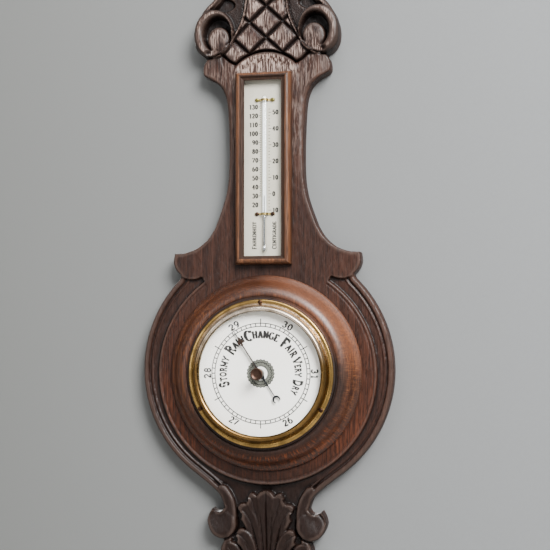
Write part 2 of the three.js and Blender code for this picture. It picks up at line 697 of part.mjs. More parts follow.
function springScrew(side) {
  const seat = SPRING_FOOT_D + GAP + SPRING_THICKNESS + 0.45;
  return smallScrew(CALIBRATION_X, side * SPRING_SCREW_Z, 10, seat);
}

const LEVER_D = 27.1;
const LEVER_THICKNESS = 1.2;

function mainLever() {
  const half = 4;
  const neckHalf = 2.2;
  const left = -30;
  const shoulder = 6;
  const neck = LINK_X - 6;
  const shape = new THREE.Shape();
  shape.moveTo(left, LEVER_Z - half);
  shape.lineTo(shoulder, LEVER_Z - half);
  shape.lineTo(neck, LEVER_Z - neckHalf);
  shape.absarc(LINK_X, LEVER_Z, 3, -Math.PI / 2, Math.PI / 2, false);
  shape.lineTo(neck, LEVER_Z + neckHalf);
  shape.lineTo(shoulder, LEVER_Z + half);
  shape.lineTo(left, LEVER_Z + half);
  shape.closePath();
  const bar = slab(shape, LEVER_D, LEVER_D + LEVER_THICKNESS, 8);
  return cut(bar, rod(1.3, 20, 40, LINK_X, LEVER_Z, 14));
}

function linkRod() {
  const top = LEVER_D + LEVER_THICKNESS + 0.6;
  const bottom = ROCKER_D - 0.7 - 0.8;
  return turned([
    [0, bottom - 1.2], [1.8, bottom - 1.2], [1.8, bottom], [0.6, bottom], [0.6, top], [1.8, top],
    [1.8, top + 1.2], [0, top + 1.2],
  ], 12, LINK_X, LEVER_Z);
}

// The rocker: a shaft with a short arm to the link and a long arm to the chain.
function rockerShaft() {
  const shaft = turnedUpright([
    [0, -25.4], [1.2, -25.4], [1.2, -22.4], [1.6, -22.4], [1.6, 22.4], [1.2, 22.4], [1.2, 25.4], [0, 25.4],
  ], ROCKER_X, ROCKER_D, 16);
  const shortArm = block(ROCKER_X, LINK_X + 2.4, ROCKER_D - 0.7, ROCKER_D + 0.7, LEVER_Z - 2.4, LEVER_Z + 2.4);
  const longArm = block(ROCKER_X - 1, ROCKER_X + 1, ROCKER_D, CHAIN_D + 1.5, CHAIN_Z - 1.2, CHAIN_Z + 1.2);
  const hub = block(ROCKER_X - 2, ROCKER_X + 2, ROCKER_D - 2, ROCKER_D + 3, CHAIN_Z - 1.8, CHAIN_Z + 1.8);
  return cut(join(shaft, shortArm, longArm, hub), rod(1.4, 10, 18, LINK_X, LEVER_Z, 14));
}

function rockerBracket(side) {
  const near = 22.8;
  const plate = block(ROCKER_X - 4, ROCKER_X + 4, SEAT_D, ROCKER_D + 3.5, near, near + 1.6);
  const foot = block(ROCKER_X - 4, ROCKER_X + 4, SEAT_D, SEAT_D + 1.4, near, near + 6);
  const pivotHole = turnedUpright([[0, 20], [1.5, 20], [1.5, 30], [0, 30]], ROCKER_X, ROCKER_D, 16);
  const bracket = cut(join(plate, foot), pivotHole);
  return side > 0 ? bracket : closed(bracket.scale(1, 1, -1));
}

function chain() {
  return block(-0.2, ROCKER_X - 1.6, CHAIN_D - CHAIN_HALF, CHAIN_D + CHAIN_HALF,
    CHAIN_Z - CHAIN_HALF, CHAIN_Z + CHAIN_HALF);
}

// The bridge over the capsule that carries the hand's arbor, with the hairspring's stud.
function arborBridge() {
  const t = BRIDGE_THICKNESS;
  const half = 6;
  const top = block(-half, half, BRIDGE_D, BRIDGE_D + t, -BRIDGE_HALF, BRIDGE_HALF);
  const legs = [-1, 1].flatMap((side) => {
    const leg = block(-half, half, SEAT_D, BRIDGE_D + t, BRIDGE_HALF - t, BRIDGE_HALF);
    const foot = block(-half, half, SEAT_D, SEAT_D + t, BRIDGE_HALF - t, BRIDGE_HALF + 10);
    return [leg, foot].map((part) => (side > 0 ? part : closed(part.scale(1, 1, -1))));
  });
  const stud = block(-1.2, 1.2, BRIDGE_D, 43, -HAIRSPRING_R - 3, -HAIRSPRING_R - 1);
  return cut(
    join(top, ...legs, stud),
    rod(ARBOR_R + GAP + 0.2, 30, 37, 0, 0, 16),
    ...[-1, 1].map((side) => rod(SCREW_R + GAP, 5, 12, 0, side * BRIDGE_SCREW_Z, 8)),
  );
}

function bridgeScrew(side) {
  return smallScrew(0, side * BRIDGE_SCREW_Z, BASE_D, SEAT_D + BRIDGE_THICKNESS + GAP);
}

// The arbor: lower pivot, chain drum between two flanges, hairspring collet, and the hand's seat.
function handArbor() {
  const halfDrum = CHAIN_HALF + 0.5;
  const flange = 0.5;
  const flangeR = 2 * DRUM_R;
  const low = CHAIN_D - halfDrum;
  const high = CHAIN_D + halfDrum;
  const tip = DIAL_D + 4;
  return turned([
    [0, 31.2], [ARBOR_R, 31.2], [ARBOR_R, 35.6], [2.4, 35.6], [2.4, low - flange],
    [flangeR, low - flange], [flangeR, low], [DRUM_R, low],
    [DRUM_R, high], [flangeR, high], [flangeR, high + flange],
    [ARBOR_R, high + flange], [ARBOR_R, 40.6], [1.8, 40.6], [1.8, 42.4],
    [ARBOR_R, 42.4], [ARBOR_R, tip], [0, tip],
  ], 14);
}

const HAIRSPRING_R = 11;

// A flat spiral ribbon from the collet out to the stud.
function hairspring() {
  const turns = 3.25;
  const steps = 52;
  const half = 0.15;
  const inner = 2.4;
  const outline = (offset) => Array.from({ length: steps + 1 }, (_, i) => {
    const t = i / steps;
    const angle = -Math.PI / 2 - turns * 2 * Math.PI * (1 - t);
    const r = inner + (HAIRSPRING_R - inner) * t + offset;
    return new THREE.Vector2(r * Math.cos(angle), r * Math.sin(angle));
  });
  const shape = new THREE.Shape([...outline(half), ...outline(-half).reverse()]);
  return slab(shape, 41, 42);
}

// ---------------------------------------------------------------- assembly

const barometer = new THREE.Group();

const carvedCase = new THREE.Group();
carvedCase.add(
  piece('case_board', caseBoard(), OAK),
  piece('turned_surround', turnedSurround(), TURNED_OAK),
  piece('rear_cover', rearCover(), TINPLATE),
  piece('hanger_plate', hangerPlate(), BRASS),
);
COVER_SCREWS.forEach(([x, z], i) => {
  carvedCase.add(piece(`rear_cover_screw_${i + 1}`, screw(x, z, ...COVER_SCREW), STEEL));
});
HANGER_SCREWS.forEach(([x, z], i) => {
  carvedCase.add(piece(`hanger_screw_${i + 1}`, screw(x, z, ...HANGER_SCREW), STEEL));
});

const dialHead = new THREE.Group();
dialHead.add(
  piece('bezel', bezel(), BRIGHT_BRASS),
  piece('bezel_glass', bezelGlass(), GLASS),
  piece('glass_retaining_ring', glassRing(), BRASS),
  piece('dial_plate', dialPlate(), CARD_WHITE),
  piece('indicating_hand', indicatingHand(), BLUED_STEEL),
  piece('set_hand', setHand(), COPPERY),
  piece('set_knob', setKnob(), COPPERY),
  piece('set_bush', setBush(), BRASS),
);
BEZEL_SCREWS.forEach(([x, z], i) => {
  dialHead.add(piece(`bezel_screw_${i + 1}`, screw(x, z, ...BEZEL_SCREW), BRIGHT_BRASS));
});

const thermometer = new THREE.Group();
thermometer.add(
  piece('thermometer_rail_left', sideRail(-1), SATIN_WOOD),
  piece('thermometer_rail_right', sideRail(1), SATIN_WOOD),
  piece('thermometer_rail_top', crossRail(true), SATIN_WOOD),
  piece('thermometer_rail_bottom', crossRail(false), SATIN_WOOD),
  piece('thermometer_glass', thermometerGlass(), GLASS),
  piece('thermometer_scale', thermometerScale(), CARD_WHITE),
  piece('thermometer_tube', thermometerTube(), GLASS),
  piece('mercury_bulb', mercuryBulb(), MERCURY),
  piece('mercury_thread', mercuryThread(), MERCURY),
  piece('mercury_meniscus', mercuryMeniscus(), MERCURY),
);
CLIPS.forEach((z, i) => {
  const place = ['upper', 'lower'][i];
  thermometer.add(piece(`tube_clip_${place}`, tubeClip(z), BRASS));
  clipScrewPlaces(z).forEach(([x], k) => {
    thermometer.add(piece(`tube_clip_${place}_screw_${k + 1}`, clipScrew(x, z), BRASS));
  });
});

const movement = new THREE.Group();
movement.add(
  piece('movement_base_plate', basePlate(), BRASS),
  piece('capsule_lower', capsuleLower(), NICKEL),
  piece('capsule_upper', capsuleUpper(), NICKEL),
  piece('calibration_screw', calibrationScrew(), STEEL),
  piece('spring_block', springBlock(), BRASS),
  piece('main_spring', mainSpring(), STEEL),
  piece('main_lever', mainLever(), BRASS),
  piece('link_rod', linkRod(), STEEL),
  piece('rocker_shaft', rockerShaft(), STEEL),
  piece('chain', chain(), STEEL),
  piece('arbor_bridge', arborBridge(), BRASS),
  piece('hand_arbor', handArbor(), STEEL),
  piece('hairspring', hairspring(), BLUED_STEEL),
);
PILLARS.forEach(([x, z], i) => {
  movement.add(piece(`dial_pillar_${i + 1}`, dialPillar(x, z), BRASS));
});
[-1, 1].forEach((side, i) => {
  movement.add(
    piece(`spring_screw_${i + 1}`, springScrew(side), STEEL),
    piece(`rocker_bracket_${i + 1}`, rockerBracket(side), BRASS),
    piece(`bridge_screw_${i + 1}`, bridgeScrew(side), STEEL),
  );
});

barometer.add(carvedCase, dialHead, thermometer, movement);

export default barometer;
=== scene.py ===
"""A carved oak wall barometer with its thermometer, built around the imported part.

Lengths are millimetres until a mesh is made. x runs across the case, z up it, and a depth d is
measured forwards from the wall, so a point is (x, -d, z) in the row frame.
"""

import functools
import json
import math
from types import SimpleNamespace

import bmesh
import bpy
import numpy as np
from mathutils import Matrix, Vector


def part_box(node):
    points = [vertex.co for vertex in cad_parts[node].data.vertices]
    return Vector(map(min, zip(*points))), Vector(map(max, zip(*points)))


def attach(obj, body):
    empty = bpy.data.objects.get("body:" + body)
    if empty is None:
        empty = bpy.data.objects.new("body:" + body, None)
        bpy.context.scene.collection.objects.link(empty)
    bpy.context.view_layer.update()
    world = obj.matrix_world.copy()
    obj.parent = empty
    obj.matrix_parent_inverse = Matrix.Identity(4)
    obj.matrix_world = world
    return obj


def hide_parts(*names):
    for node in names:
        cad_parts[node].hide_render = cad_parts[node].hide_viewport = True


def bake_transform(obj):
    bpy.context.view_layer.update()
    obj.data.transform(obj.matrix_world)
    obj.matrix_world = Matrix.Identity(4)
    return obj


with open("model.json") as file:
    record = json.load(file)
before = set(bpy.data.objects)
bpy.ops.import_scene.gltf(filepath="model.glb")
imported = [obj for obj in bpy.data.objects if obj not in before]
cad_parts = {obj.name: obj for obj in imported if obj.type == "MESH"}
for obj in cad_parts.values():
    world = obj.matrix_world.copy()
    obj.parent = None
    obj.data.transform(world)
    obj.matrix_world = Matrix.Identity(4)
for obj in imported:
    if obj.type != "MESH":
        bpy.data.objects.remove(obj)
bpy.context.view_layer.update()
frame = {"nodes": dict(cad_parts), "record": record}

MM = 0.001


def box_mm(node):
    """Lowest and highest corner of a CAD node, in millimetres."""
    low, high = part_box(node)
    return [c / MM for c in low], [c / MM for c in high]


def depths_of(node):
    """Depths of a CAD node's front and back."""
    low, high = box_mm(node)
    return -low[1], -high[1]


def middle_of(node):
    """Middle of a CAD node as seen from the front, (x, z)."""
    low, high = box_mm(node)
    return (low[0] + high[0]) / 2, (low[2] + high[2]) / 2


def half_width(node):
    low, high = box_mm(node)
    return (high[0] - low[0]) / 2


# ---------------------------------------------------------------- sizes worked out from the frame

FIT = 0.3                                         # gap between parts that lie on each other
CASE_TIP, CASE_TOP = (corner[2] for corner in box_mm("case_board"))
FIELD_D = depths_of("turned_surround")[1] - FIT   # raised faces of the case
SURROUND_R = half_width("turned_surround")
SURROUND_FRONT = depths_of("turned_surround")[0]
BEZEL_R = half_width("bezel")
BEZEL_FRONT = depths_of("bezel")[0]
GLASS_FRONT = depths_of("bezel_glass")[0]
GLASS_BACK = GLASS_FRONT - 2.8
DIAL_FRONT = depths_of("dial_plate")[0]
COVER_R = half_width("rear_cover")
HANGER_LOW, HANGER_HIGH = box_mm("hanger_plate")
STRAP_R = half_width("case_board")
BODY_R = STRAP_R - 20.5                           # plain disc of the body behind the surround
BORE_R = SURROUND_R - 54.2                        # bore for the movement
OPENING_R = BEZEL_R - 14.4                        # dial seen through the bezel

scene = bpy.context.scene


# ---------------------------------------------------------------- meshes


def new_object(name, vertices, faces):
    """An object in the scene, from vertices in millimetres."""
    mesh = bpy.data.meshes.new(name)
    mesh.from_pydata([(x * MM, y * MM, z * MM) for x, y, z in vertices], [], faces)
    mesh.update()
    obj = bpy.data.objects.new(name, mesh)
    scene.collection.objects.link(obj)
    return obj


def finish_mesh(obj, angle):
    """Outward normals, and smooth shading except across edges sharper than the angle."""
    mesh = obj.data
    work = bmesh.new()
    work.from_mesh(mesh)
    bmesh.ops.recalc_face_normals(work, faces=work.faces)
    work.to_mesh(mesh)
    work.free()
    mesh.shade_smooth()
    mesh.set_sharp_from_angle(angle=math.radians(angle))


def new_piece(name, solid, material, nodes=(), body="case", angle=40):
    """One piece of the object from its (vertices, faces), standing for some CAD nodes."""
    obj = new_object(name, *solid)
    obj.data.materials.append(material)
    finish_mesh(obj, angle)
    if body:
        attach(obj, body)
    if nodes:
        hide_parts(*nodes)
    return obj


def lathe(profile, segments=192, x=0.0, z=0.0):
    """A (radius, depth) profile turned about an axis that faces the viewer.
    A profile that starts and ends on the axis is a solid; otherwise it closes on itself as a ring."""
    on_axis = 1e-6
    vertices = []
    rows = []
    for r, d in profile:
        start = len(vertices)
        if r < on_axis:
            rows.append([start] * segments)
            vertices.append((x, -d, z))
            continue
        turns = [2 * math.pi * k / segments for k in range(segments)]
        rows.append(list(range(start, start + segments)))
        vertices += [(x + r * math.sin(a), -d, z + r * math.cos(a)) for a in turns]
    pairs = list(zip(rows, rows[1:]))
    if profile[0][0] >= on_axis or profile[-1][0] >= on_axis:
        pairs.append((rows[-1], rows[0]))
    faces = []
    for a, b in pairs:
        for k in range(segments):
            n = (k + 1) % segments
            corners = list(dict.fromkeys([a[k], a[n], b[n], b[k]]))
            if len(corners) > 2:
                faces.append(corners)
    return vertices, faces


def upright(profile, x, d, segments=32, widen=1.0):
    """As lathe, for a (radius, height) profile about a vertical axis; widen stretches it across."""
    vertices, faces = lathe(profile, segments)
    return [(x + u * widen, -d - w, -v) for u, v, w in vertices], faces


def through(points, steps=8):
    """Points on a smooth curve through the given ones."""
    p = np.array([points[0], *points, points[-1]], float)
    t = np.linspace(0, 1, steps, endpoint=False)[:, None]
    runs = []
    for a, b, c, d in zip(p[:-3], p[1:-2], p[2:-1], p[3:]):
        m0 = (c - a) / 2
        m1 = (d - b) / 2
        cubic = (2 * b - 2 * c + m0 + m1) * t**3 + (-3 * b + 3 * c - 2 * m0 - m1) * t**2
        runs.append(cubic + m0 * t + b)
    return np.vstack([*runs, p[-1:]])


def smooth(points, steps=5):
    """As through, for a stretch of a profile."""
    return [tuple(p) for p in through(points, steps)]


def prism(outline, d0, d1, hole=None):
    """A flat solid with the given (x, z) outline between two depths."""
    work = bmesh.new()
    loops = [outline] if hole is None else [outline, hole]
    for loop in loops:
        corners = [work.verts.new((x, -d0, z)) for x, z in loop]
        for a, b in zip(corners, corners[1:] + corners[:1]):
            work.edges.new((a, b))
    bmesh.ops.triangle_fill(work, use_beauty=True, use_dissolve=False, edges=work.edges[:])
    grown = bmesh.ops.extrude_face_region(work, geom=work.faces[:], use_keep_orig=True)
    for v in grown["geom"]:
        if isinstance(v, bmesh.types.BMVert):
            v.co.y = -d1
    work.verts.index_update()
    vertices = [tuple(v.co) for v in work.verts]
    faces = [[v.index for v in f.verts] for f in work.faces]
    work.free()
    return vertices, faces


def polar(radius, degrees):
    """A place round the dial's axis, (x, z), with degrees clockwise from the top."""
    return radius * math.sin(math.radians(degrees)), radius * math.cos(math.radians(degrees))


def circle(radius, lobes=0, depth=0.0, steps=180):
    """Points round the dial's axis; each lobe stands out by the depth."""
    a = np.linspace(0, 2 * np.pi, steps + 1)
    r = radius + depth * np.abs(np.cos(lobes * a / 2))
    return np.column_stack([r * np.sin(a), r * np.cos(a)])


def tube_faces(rows, sides, closed=False):
    """Faces round a run of rows of vertices, numbered row by row; the ends are capped unless it closes."""
    faces = []
    for k in range(rows if closed else rows - 1):
        a, b = sides * k, sides * ((k + 1) % rows)
        for i in range(sides):
            j = (i + 1) % sides
            faces.append([a + i, a + j, b + j, b + i])
    if not closed:
        faces.append(list(range(sides)))
        faces.append([sides * rows - 1 - i for i in range(sides)])
    return faces


def merged(solids):
    """Several (vertices, faces) as one."""
    vertices = []
    faces = []
    for v, f in solids:
        start = len(vertices)
        vertices += list(v)
        faces += [[i + start for i in face] for face in f]
    return vertices, faces


def soften(obj, width):
    """Rounds the sharp edges of a piece or of a CAD node."""
    bevel = obj.modifiers.new("edges", "BEVEL")
    bevel.width = width * MM
    bevel.segments = 2
    bevel.limit_method = "ANGLE"
    bevel.angle_limit = math.radians(35)
    bevel.harden_normals = False


# ---------------------------------------------------------------- shader nodes


class Wire:
    """An output in a material's node tree; sums and products of wires add the nodes for them."""

    def __init__(self, socket):
        self.socket = socket

    def __add__(self, other):
        return arithmetic("ADD", self, other)

    def __mul__(self, other):
        return arithmetic("MULTIPLY", self, other)

    def __sub__(self, other):
        return arithmetic("SUBTRACT", self, other)

    def __rsub__(self, other):
        return arithmetic("SUBTRACT", other, self)

    __radd__ = __add__
    __rmul__ = __mul__


def connect(tree, sockets, key, value):
    if isinstance(value, Wire):
        tree.links.new(value.socket, sockets[key])
    else:
        sockets[key].default_value = value


def add(tree, kind, inputs=None, output=0, **settings):
    """Adds a shader node and returns one of its outputs; an input is a value or a wire."""
    made = tree.nodes.new("ShaderNode" + kind)
    for key, value in settings.items():
        setattr(made, key, value)
    for key, value in (inputs or {}).items():
        connect(tree, made.inputs, key, value)
    return Wire(made.outputs[output])


def tree_of(*values):
    """The node tree that the first wire among the values belongs to."""
    return next(v.socket.id_data for v in values if isinstance(v, Wire))


def arithmetic(operation, a, b):
    return add(tree_of(a, b), "Math", {0: a, 1: b}, operation=operation)


def span(value, low, high):
    """0 where value is low, 1 where it is high."""
    return add(tree_of(value), "MapRange", {"Value": value, "From Min": low, "From Max": high}, clamp=True)


def painted(colour, amount, coat):
    """The colour with the coat over it by an amount from 0 to 1."""
    return add(tree_of(amount), "Mix", {0: amount, 6: colour, 7: coat}, output=2, data_type="RGBA")


def raised(height, distance, normal=None):
    """The normal of a surface raised by a height, over the normal given."""
    inputs = {"Height": height, "Distance": distance * MM, "Strength": 1.0}
    if normal:
        inputs["Normal"] = normal
    return add(tree_of(height), "Bump", inputs)


def new_material(name):
    material = bpy.data.materials.new(name)
    material.use_nodes = True
    return material, material.node_tree


def surface(tree, **inputs):
    """Sets the inputs of a material's principled shader."""
    for key, value in inputs.items():
        connect(tree, tree.nodes["Principled BSDF"].inputs, key.replace("_", " "), value)


def shown(tree, shader):
    connect(tree, tree.nodes["Material Output"].inputs, "Surface", shader)


def object_place(tree):
    return add(tree, "TexCoord", output="Object")


def noise(tree, cells, detail=3.0, roughness=0.6, offset=(0.0, 0.0, 0.0), distortion=0.0):
    """Noise in the object's own space; cells is how many fit in a metre, in all or along x, y and z."""
    scale = cells if isinstance(cells, tuple) else (cells, cells, cells)
    mapped = add(tree, "Mapping", {"Vector": object_place(tree), "Scale": scale, "Location": offset})
    return add(tree, "TexNoise", {
        "Vector": mapped, "Scale": 1.0, "Detail": detail, "Roughness": roughness, "Distortion": distortion,
    })


def about_dial(tree):
    """x and z in the object's own space, and the distance from the dial's axis."""
    x, z = (add(tree, "SeparateXYZ", {"Vector": object_place(tree)}, output=axis) for axis in ("X", "Z"))
    flat_place = add(tree, "CombineXYZ", {"X": x, "Y": z})
    return x, z, add(tree, "VectorMath", {0: flat_place}, output="Value", operation="LENGTH")


def attribute(tree, name):
    return add(tree, "Attribute", output="Fac", attribute_name=name)


def rgb(red, green, blue):
    """A colour as seen (0 to 255) in the linear values shaders use."""
    linear = [((c / 255 + 0.055) / 1.055) ** 2.4 if c > 10 else c / 255 / 12.92 for c in (red, green, blue)]
    return (*linear, 1.0)


# ---------------------------------------------------------------- materials


def oak(name, dark, middle, light, gloss):
    """The start of an open-grained oak, stained and waxed: its long grain, its streaks and its pores."""
    material, tree = new_material(name)
    bands = noise(tree, (95, 95, 5), 4, distortion=0.6)
    streaks = noise(tree, (700, 700, 18))
    patches = noise(tree, (14, 14, 7), offset=(3, 1, 2))
    pore = span(noise(tree, (1100, 1100, 55), 2, 0.5, offset=(1, 7, 4)), 0.55, 0.66)
    colour = painted(dark, span(bands, 0.32, 0.68), middle)
    colour = painted(colour, 0.6 * span(streaks, 0.46, 0.75), light)
    colour = painted(colour, 0.4 * span(patches, 0.45, 0.75), dark)
    return SimpleNamespace(
        material=material, tree=tree, colour=colour, streaks=streaks, pore=pore,
        normal=raised(streaks, 0.12, raised(pore, -0.22)), rough=0.25 * patches + (gloss - 0.1),
    )


def waxed(wood, colour, normal, rough, polish, polish_roughness=0.26):
    """Finishes an oak with a coat of polish."""
    surface(wood.tree, Base_Color=colour, Normal=normal, Roughness=rough, Specular_IOR_Level=0.18,
            Coat_Weight=polish, Coat_Roughness=polish_roughness)
    return wood.material


def carved_oak():
    """The case's oak, guided by what carved_case stores: worn edges with a painted highlight and painted
    shade in the hollows (wear), bare fleck on proud flats (fleck), red grain round the dial (ruddy), and
    darker carving on the crest's top with painted shade deepening towards the bottom (shade)."""
    wood = oak("carved_oak", rgb(26, 12, 8), rgb(47, 26, 18), rgb(74, 46, 35), 0.42)
    tree = wood.tree
    # Painted shade: the left of the body is darker, away from the light.
    colour = painted(wood.colour, 0.45 * span(about_dial(tree)[0], -0.03, -0.12), rgb(24, 12, 8))
    red_grain = painted(rgb(24, 9, 4), span(wood.streaks, 0.35, 0.7), rgb(84, 42, 22))
    colour = painted(colour, 0.8 * attribute(tree, "ruddy"), red_grain)
    colour = painted(colour, 0.65 * wood.pore, rgb(12, 6, 4))
    # Painted shade deepening towards the bottom, and darker carving on the crest's top (shade).
    colour = painted(colour, 0.88 * attribute(tree, "shade"), rgb(17, 7, 4))
    broad = noise(tree, (45, 45, 22), 2, 0.5, offset=(6, 2, 9))
    fleck_lines = noise(tree, (800, 800, 60), 2, offset=(9, 2, 5))
    bare = attribute(tree, "fleck") * span(broad, 0.3, 0.5)
    fleck = span(fleck_lines, 0.47, 0.56) * bare
    colour = painted(colour, 0.6 * bare, rgb(50, 34, 28))
    colour = painted(colour, 0.95 * fleck, rgb(152, 132, 122))
    # Wear: raised edges worn paler, partly a painted highlight; the hollows darkened by painted shade.
    wear = attribute(tree, "wear")
    colour = painted(colour, 0.2 * span(wear, 0.35, 1.0), rgb(90, 74, 66))
    colour = painted(colour, 0.8 * span(wear, -0.2, -0.95), rgb(10, 5, 4))
    return waxed(wood, colour, raised(fleck, -0.25, wood.normal), wood.rough + 0.12 * fleck, 0.06)


def turned_oak():
    """The surround's oak, redder and better polished, in zones about the dial's axis."""
    light = rgb(140, 86, 48)
    wood = oak("turned_oak", rgb(36, 15, 8), rgb(62, 30, 16), light, 0.34)
    x, z, reach = about_dial(wood.tree)
    # The figure crosses the ring where the board's grain runs across it: low down and to the right.
    round_place = add(wood.tree, "CombineXYZ", {"X": 60.0 * arithmetic("ARCTAN2", x, z), "Y": 70.0 * reach})
    figure = add(wood.tree, "TexNoise", {
        "Vector": round_place, "Scale": 1.7, "Detail": 3.0, "Roughness": 0.6,
    })
    stroke = span(figure, 0.5, 0.68) * (0.8 * span(x - 1.2 * z, -0.05, 0.12) + 0.15)
    colour = painted(wood.colour, 0.6 * stroke, light)
    # Painted shade: darker on the low side of the flat beside the bezel, in its corner against the bezel,
    # low down and at the rim.
    flat = span(reach, (BEZEL_R + 17) * MM, (BEZEL_R + 13) * MM)
    shaded_low_flat = flat * span(z - 0.35 * x, 0.05, -0.05)
    corner = span(reach, (BEZEL_R + 5.5) * MM, (BEZEL_R + 3.0) * MM)
    low_shade = 0.6 * span(z, -0.04, -0.11)
    rim = 0.6 * span(reach, (SURROUND_R - 4.5) * MM, (SURROUND_R - 2.0) * MM)
    colour = painted(colour, 0.85 * shaded_low_flat, rgb(18, 8, 4))
    colour = painted(colour, 0.85 * corner, rgb(16, 9, 6))
    colour = painted(colour, low_shade + rim, rgb(30, 12, 5))
    # Painted shade makes the top and the lower right darker too, and a painted highlight makes the upper
    # right paler.
    colour = painted(colour, 0.5 * span(z, 0.075, 0.1), rgb(30, 14, 8))
    colour = painted(colour, 0.45 * span(x - z, 0.1, 0.14), rgb(32, 14, 7))
    colour = painted(colour, 0.2 * span(x + z, 0.105, 0.14), rgb(152, 96, 68))
    # Low down, outside the flat, the figure shows orange through the dark polish.
    outside = span(reach, (BEZEL_R + 9) * MM, (BEZEL_R + 13) * MM)
    low_stroke = span(figure, 0.49, 0.62) * span(z, -0.045, -0.085)
    colour = painted(colour, 0.34 * (low_stroke * outside), rgb(150, 74, 30))
    colour = painted(colour, 0.65 * wood.pore, rgb(18, 8, 4))
    dull = span(corner + shaded_low_flat, 0.0, 1.0)
    normal = raised(stroke, 0.18, wood.normal)
    return waxed(wood, colour, normal, wood.rough + 0.2 * dull, 0.5 * (1.0 - 0.8 * dull), 0.36)


def frame_wood():
    """The frame's moulding, with painted shade where thermometer_rail stores it (shade)."""
    wood = oak("frame_wood", rgb(48, 27, 16), rgb(84, 51, 31), rgb(134, 90, 60), 0.32)
    painted_shade = attribute(wood.tree, "shade")
    colour = painted(wood.colour, 0.65 * wood.pore, rgb(18, 8, 4))
    # Painted shade on the inner bevel and on the outside towards the board.
    colour = painted(colour, 0.85 * painted_shade, rgb(26, 15, 9))
    return waxed(wood, colour, wood.normal, wood.rough + 0.3 * painted_shade, 0.2 * (1.0 - 0.9 * painted_shade))


def metal(name, base, shade, roughness, grime=0.5, metallic=1.0):
    """Aged metal: tarnish in patches, fine scratches, uneven polish. The base is a colour, or a function
    that works one out in the material's tree."""
    material, tree = new_material(name)
    patches = noise(tree, 60, 4, 0.65)
    spots = noise(tree, 420, offset=(4, 4, 1))
    scratches = noise(tree, (900, 900, 160), offset=(2, 5, 8))
    colour = base(tree) if callable(base) else base
    colour = painted(colour, grime * span(patches, 0.42, 0.7), shade)
    colour = painted(colour, grime * span(spots, 0.58, 0.75), shade)
    surface(tree, Base_Color=colour, Roughness=0.25 * patches + (roughness - 0.1), Metallic=metallic,
            Normal=raised(patches, 0.12, raised(scratches, 0.015)))
    return material


def bezel_tone(tree):
    """Brass with painted light: a painted reflection pale on the top of the bezel's inner slope and darker
    lower on it, and a painted shadow dark at its lip.
    """
    _, z, reach = about_dial(tree)
    slope = span(reach, (BEZEL_R - 3.8) * MM, (BEZEL_R - 6.4) * MM)
    lip = span(reach, (OPENING_R + 1.3) * MM, (OPENING_R + 0.7) * MM)
    inner = painted(rgb(128, 98, 56), span(z, 0.01, 0.06), rgb(232, 214, 194))
    return painted(painted(rgb(172, 138, 80), slope, inner), 0.85 * lip, rgb(26, 20, 14))


def printed_white(name, base, shade, roughness):
    """Enamelled or varnished white plate, yellowed unevenly with faint specks."""
    material, tree = new_material(name)
    patches = noise(tree, 22)
    specks = noise(tree, 900, 2, 0.5, offset=(3, 3, 3))
    colour = painted(base, 0.6 * span(patches, 0.35, 0.75), shade)
    colour = painted(colour, 0.35 * span(specks, 0.66, 0.78), rgb(150, 140, 120))
    surface(tree, Base_Color=colour, Roughness=0.15 * patches + roughness, Normal=raised(patches, 0.06))
    return material


def ink(name, colour, wear):
    """Printing ink, a little broken up."""
    material, tree = new_material(name)
    broken = noise(tree, 700)
    colour = painted(colour, wear * span(broken, 0.45, 0.75), rgb(196, 190, 182))
    surface(tree, Base_Color=colour, Roughness=0.6, Normal=raised(broken, 0.02), Specular_IOR_Level=0.15)
    return material


def clear(name, tint, reflection, edge=0.0):
    """Thin old glass: what is behind shows straight through, under a soft reflection and faint dust.
    Seen edge on it darkens by the amount given: a painted shade for the dark sides of a tube."""
    material, tree = new_material(name)
    tree.nodes.remove(tree.nodes["Principled BSDF"])
    normal = raised(noise(tree, 12, 2, 0.5), 0.3)
    dust = span(noise(tree, 500, 4, 0.65, offset=(2, 2, 7)), 0.5, 0.85)
    grazing = add(tree, "LayerWeight", {"Blend": 0.5, "Normal": normal}, "Facing")
    # Painted shade: edge on, the tint darkens towards grey.
    colour = painted(tint, edge * span(grazing, 0.25, 0.85), rgb(60, 62, 62))
    straight = add(tree, "BsdfTransparent", {"Color": colour})
    gloss = add(tree, "BsdfGlossy", {"Color": (1, 1, 1, 1), "Roughness": 0.04, "Normal": normal})
    haze = add(tree, "BsdfDiffuse", {"Color": rgb(225, 224, 220)})
    front = 1.0 - add(tree, "NewGeometry", output="Backfacing")
    mirrored = reflection * add(tree, "Fresnel", {"IOR": 1.45, "Normal": normal}) * front
    clean = add(tree, "MixShader", {0: mirrored, 1: straight, 2: gloss})
    shown(tree, add(tree, "MixShader", {0: 0.06 * dust * front, 1: clean, 2: haze}))
    return material


CARVED_OAK = carved_oak()
TURNED_OAK = turned_oak()
FRAME_WOOD = frame_wood()
BEZEL_BRASS = metal("bezel_brass", bezel_tone, rgb(70, 52, 26), 0.26, grime=0.7)
DARK_SCREW = metal("dark_screw", rgb(66, 46, 34), rgb(28, 20, 15), 0.4, grime=0.8)
PLAIN_BRASS = metal("plain_brass", rgb(170, 148, 88), rgb(84, 66, 34), 0.34)
OLD_BRASS = metal("old_brass", rgb(132, 122, 66), rgb(40, 36, 20), 0.36, grime=0.9)
STEEL = metal("steel", rgb(110, 110, 112), rgb(52, 47, 44), 0.38)
BLUED_STEEL = metal("blued_steel", rgb(36, 38, 44), rgb(20, 18, 20), 0.34, grime=0.4, metallic=0.8)
NICKEL = metal("nickel", rgb(160, 156, 146), rgb(92, 85, 73), 0.3)
TINPLATE = metal("tinplate", rgb(126, 124, 119), rgb(70, 60, 49), 0.42, grime=0.8)
MERCURY = metal("mercury", rgb(180, 182, 186), rgb(130, 132, 138), 0.16, grime=0.2)
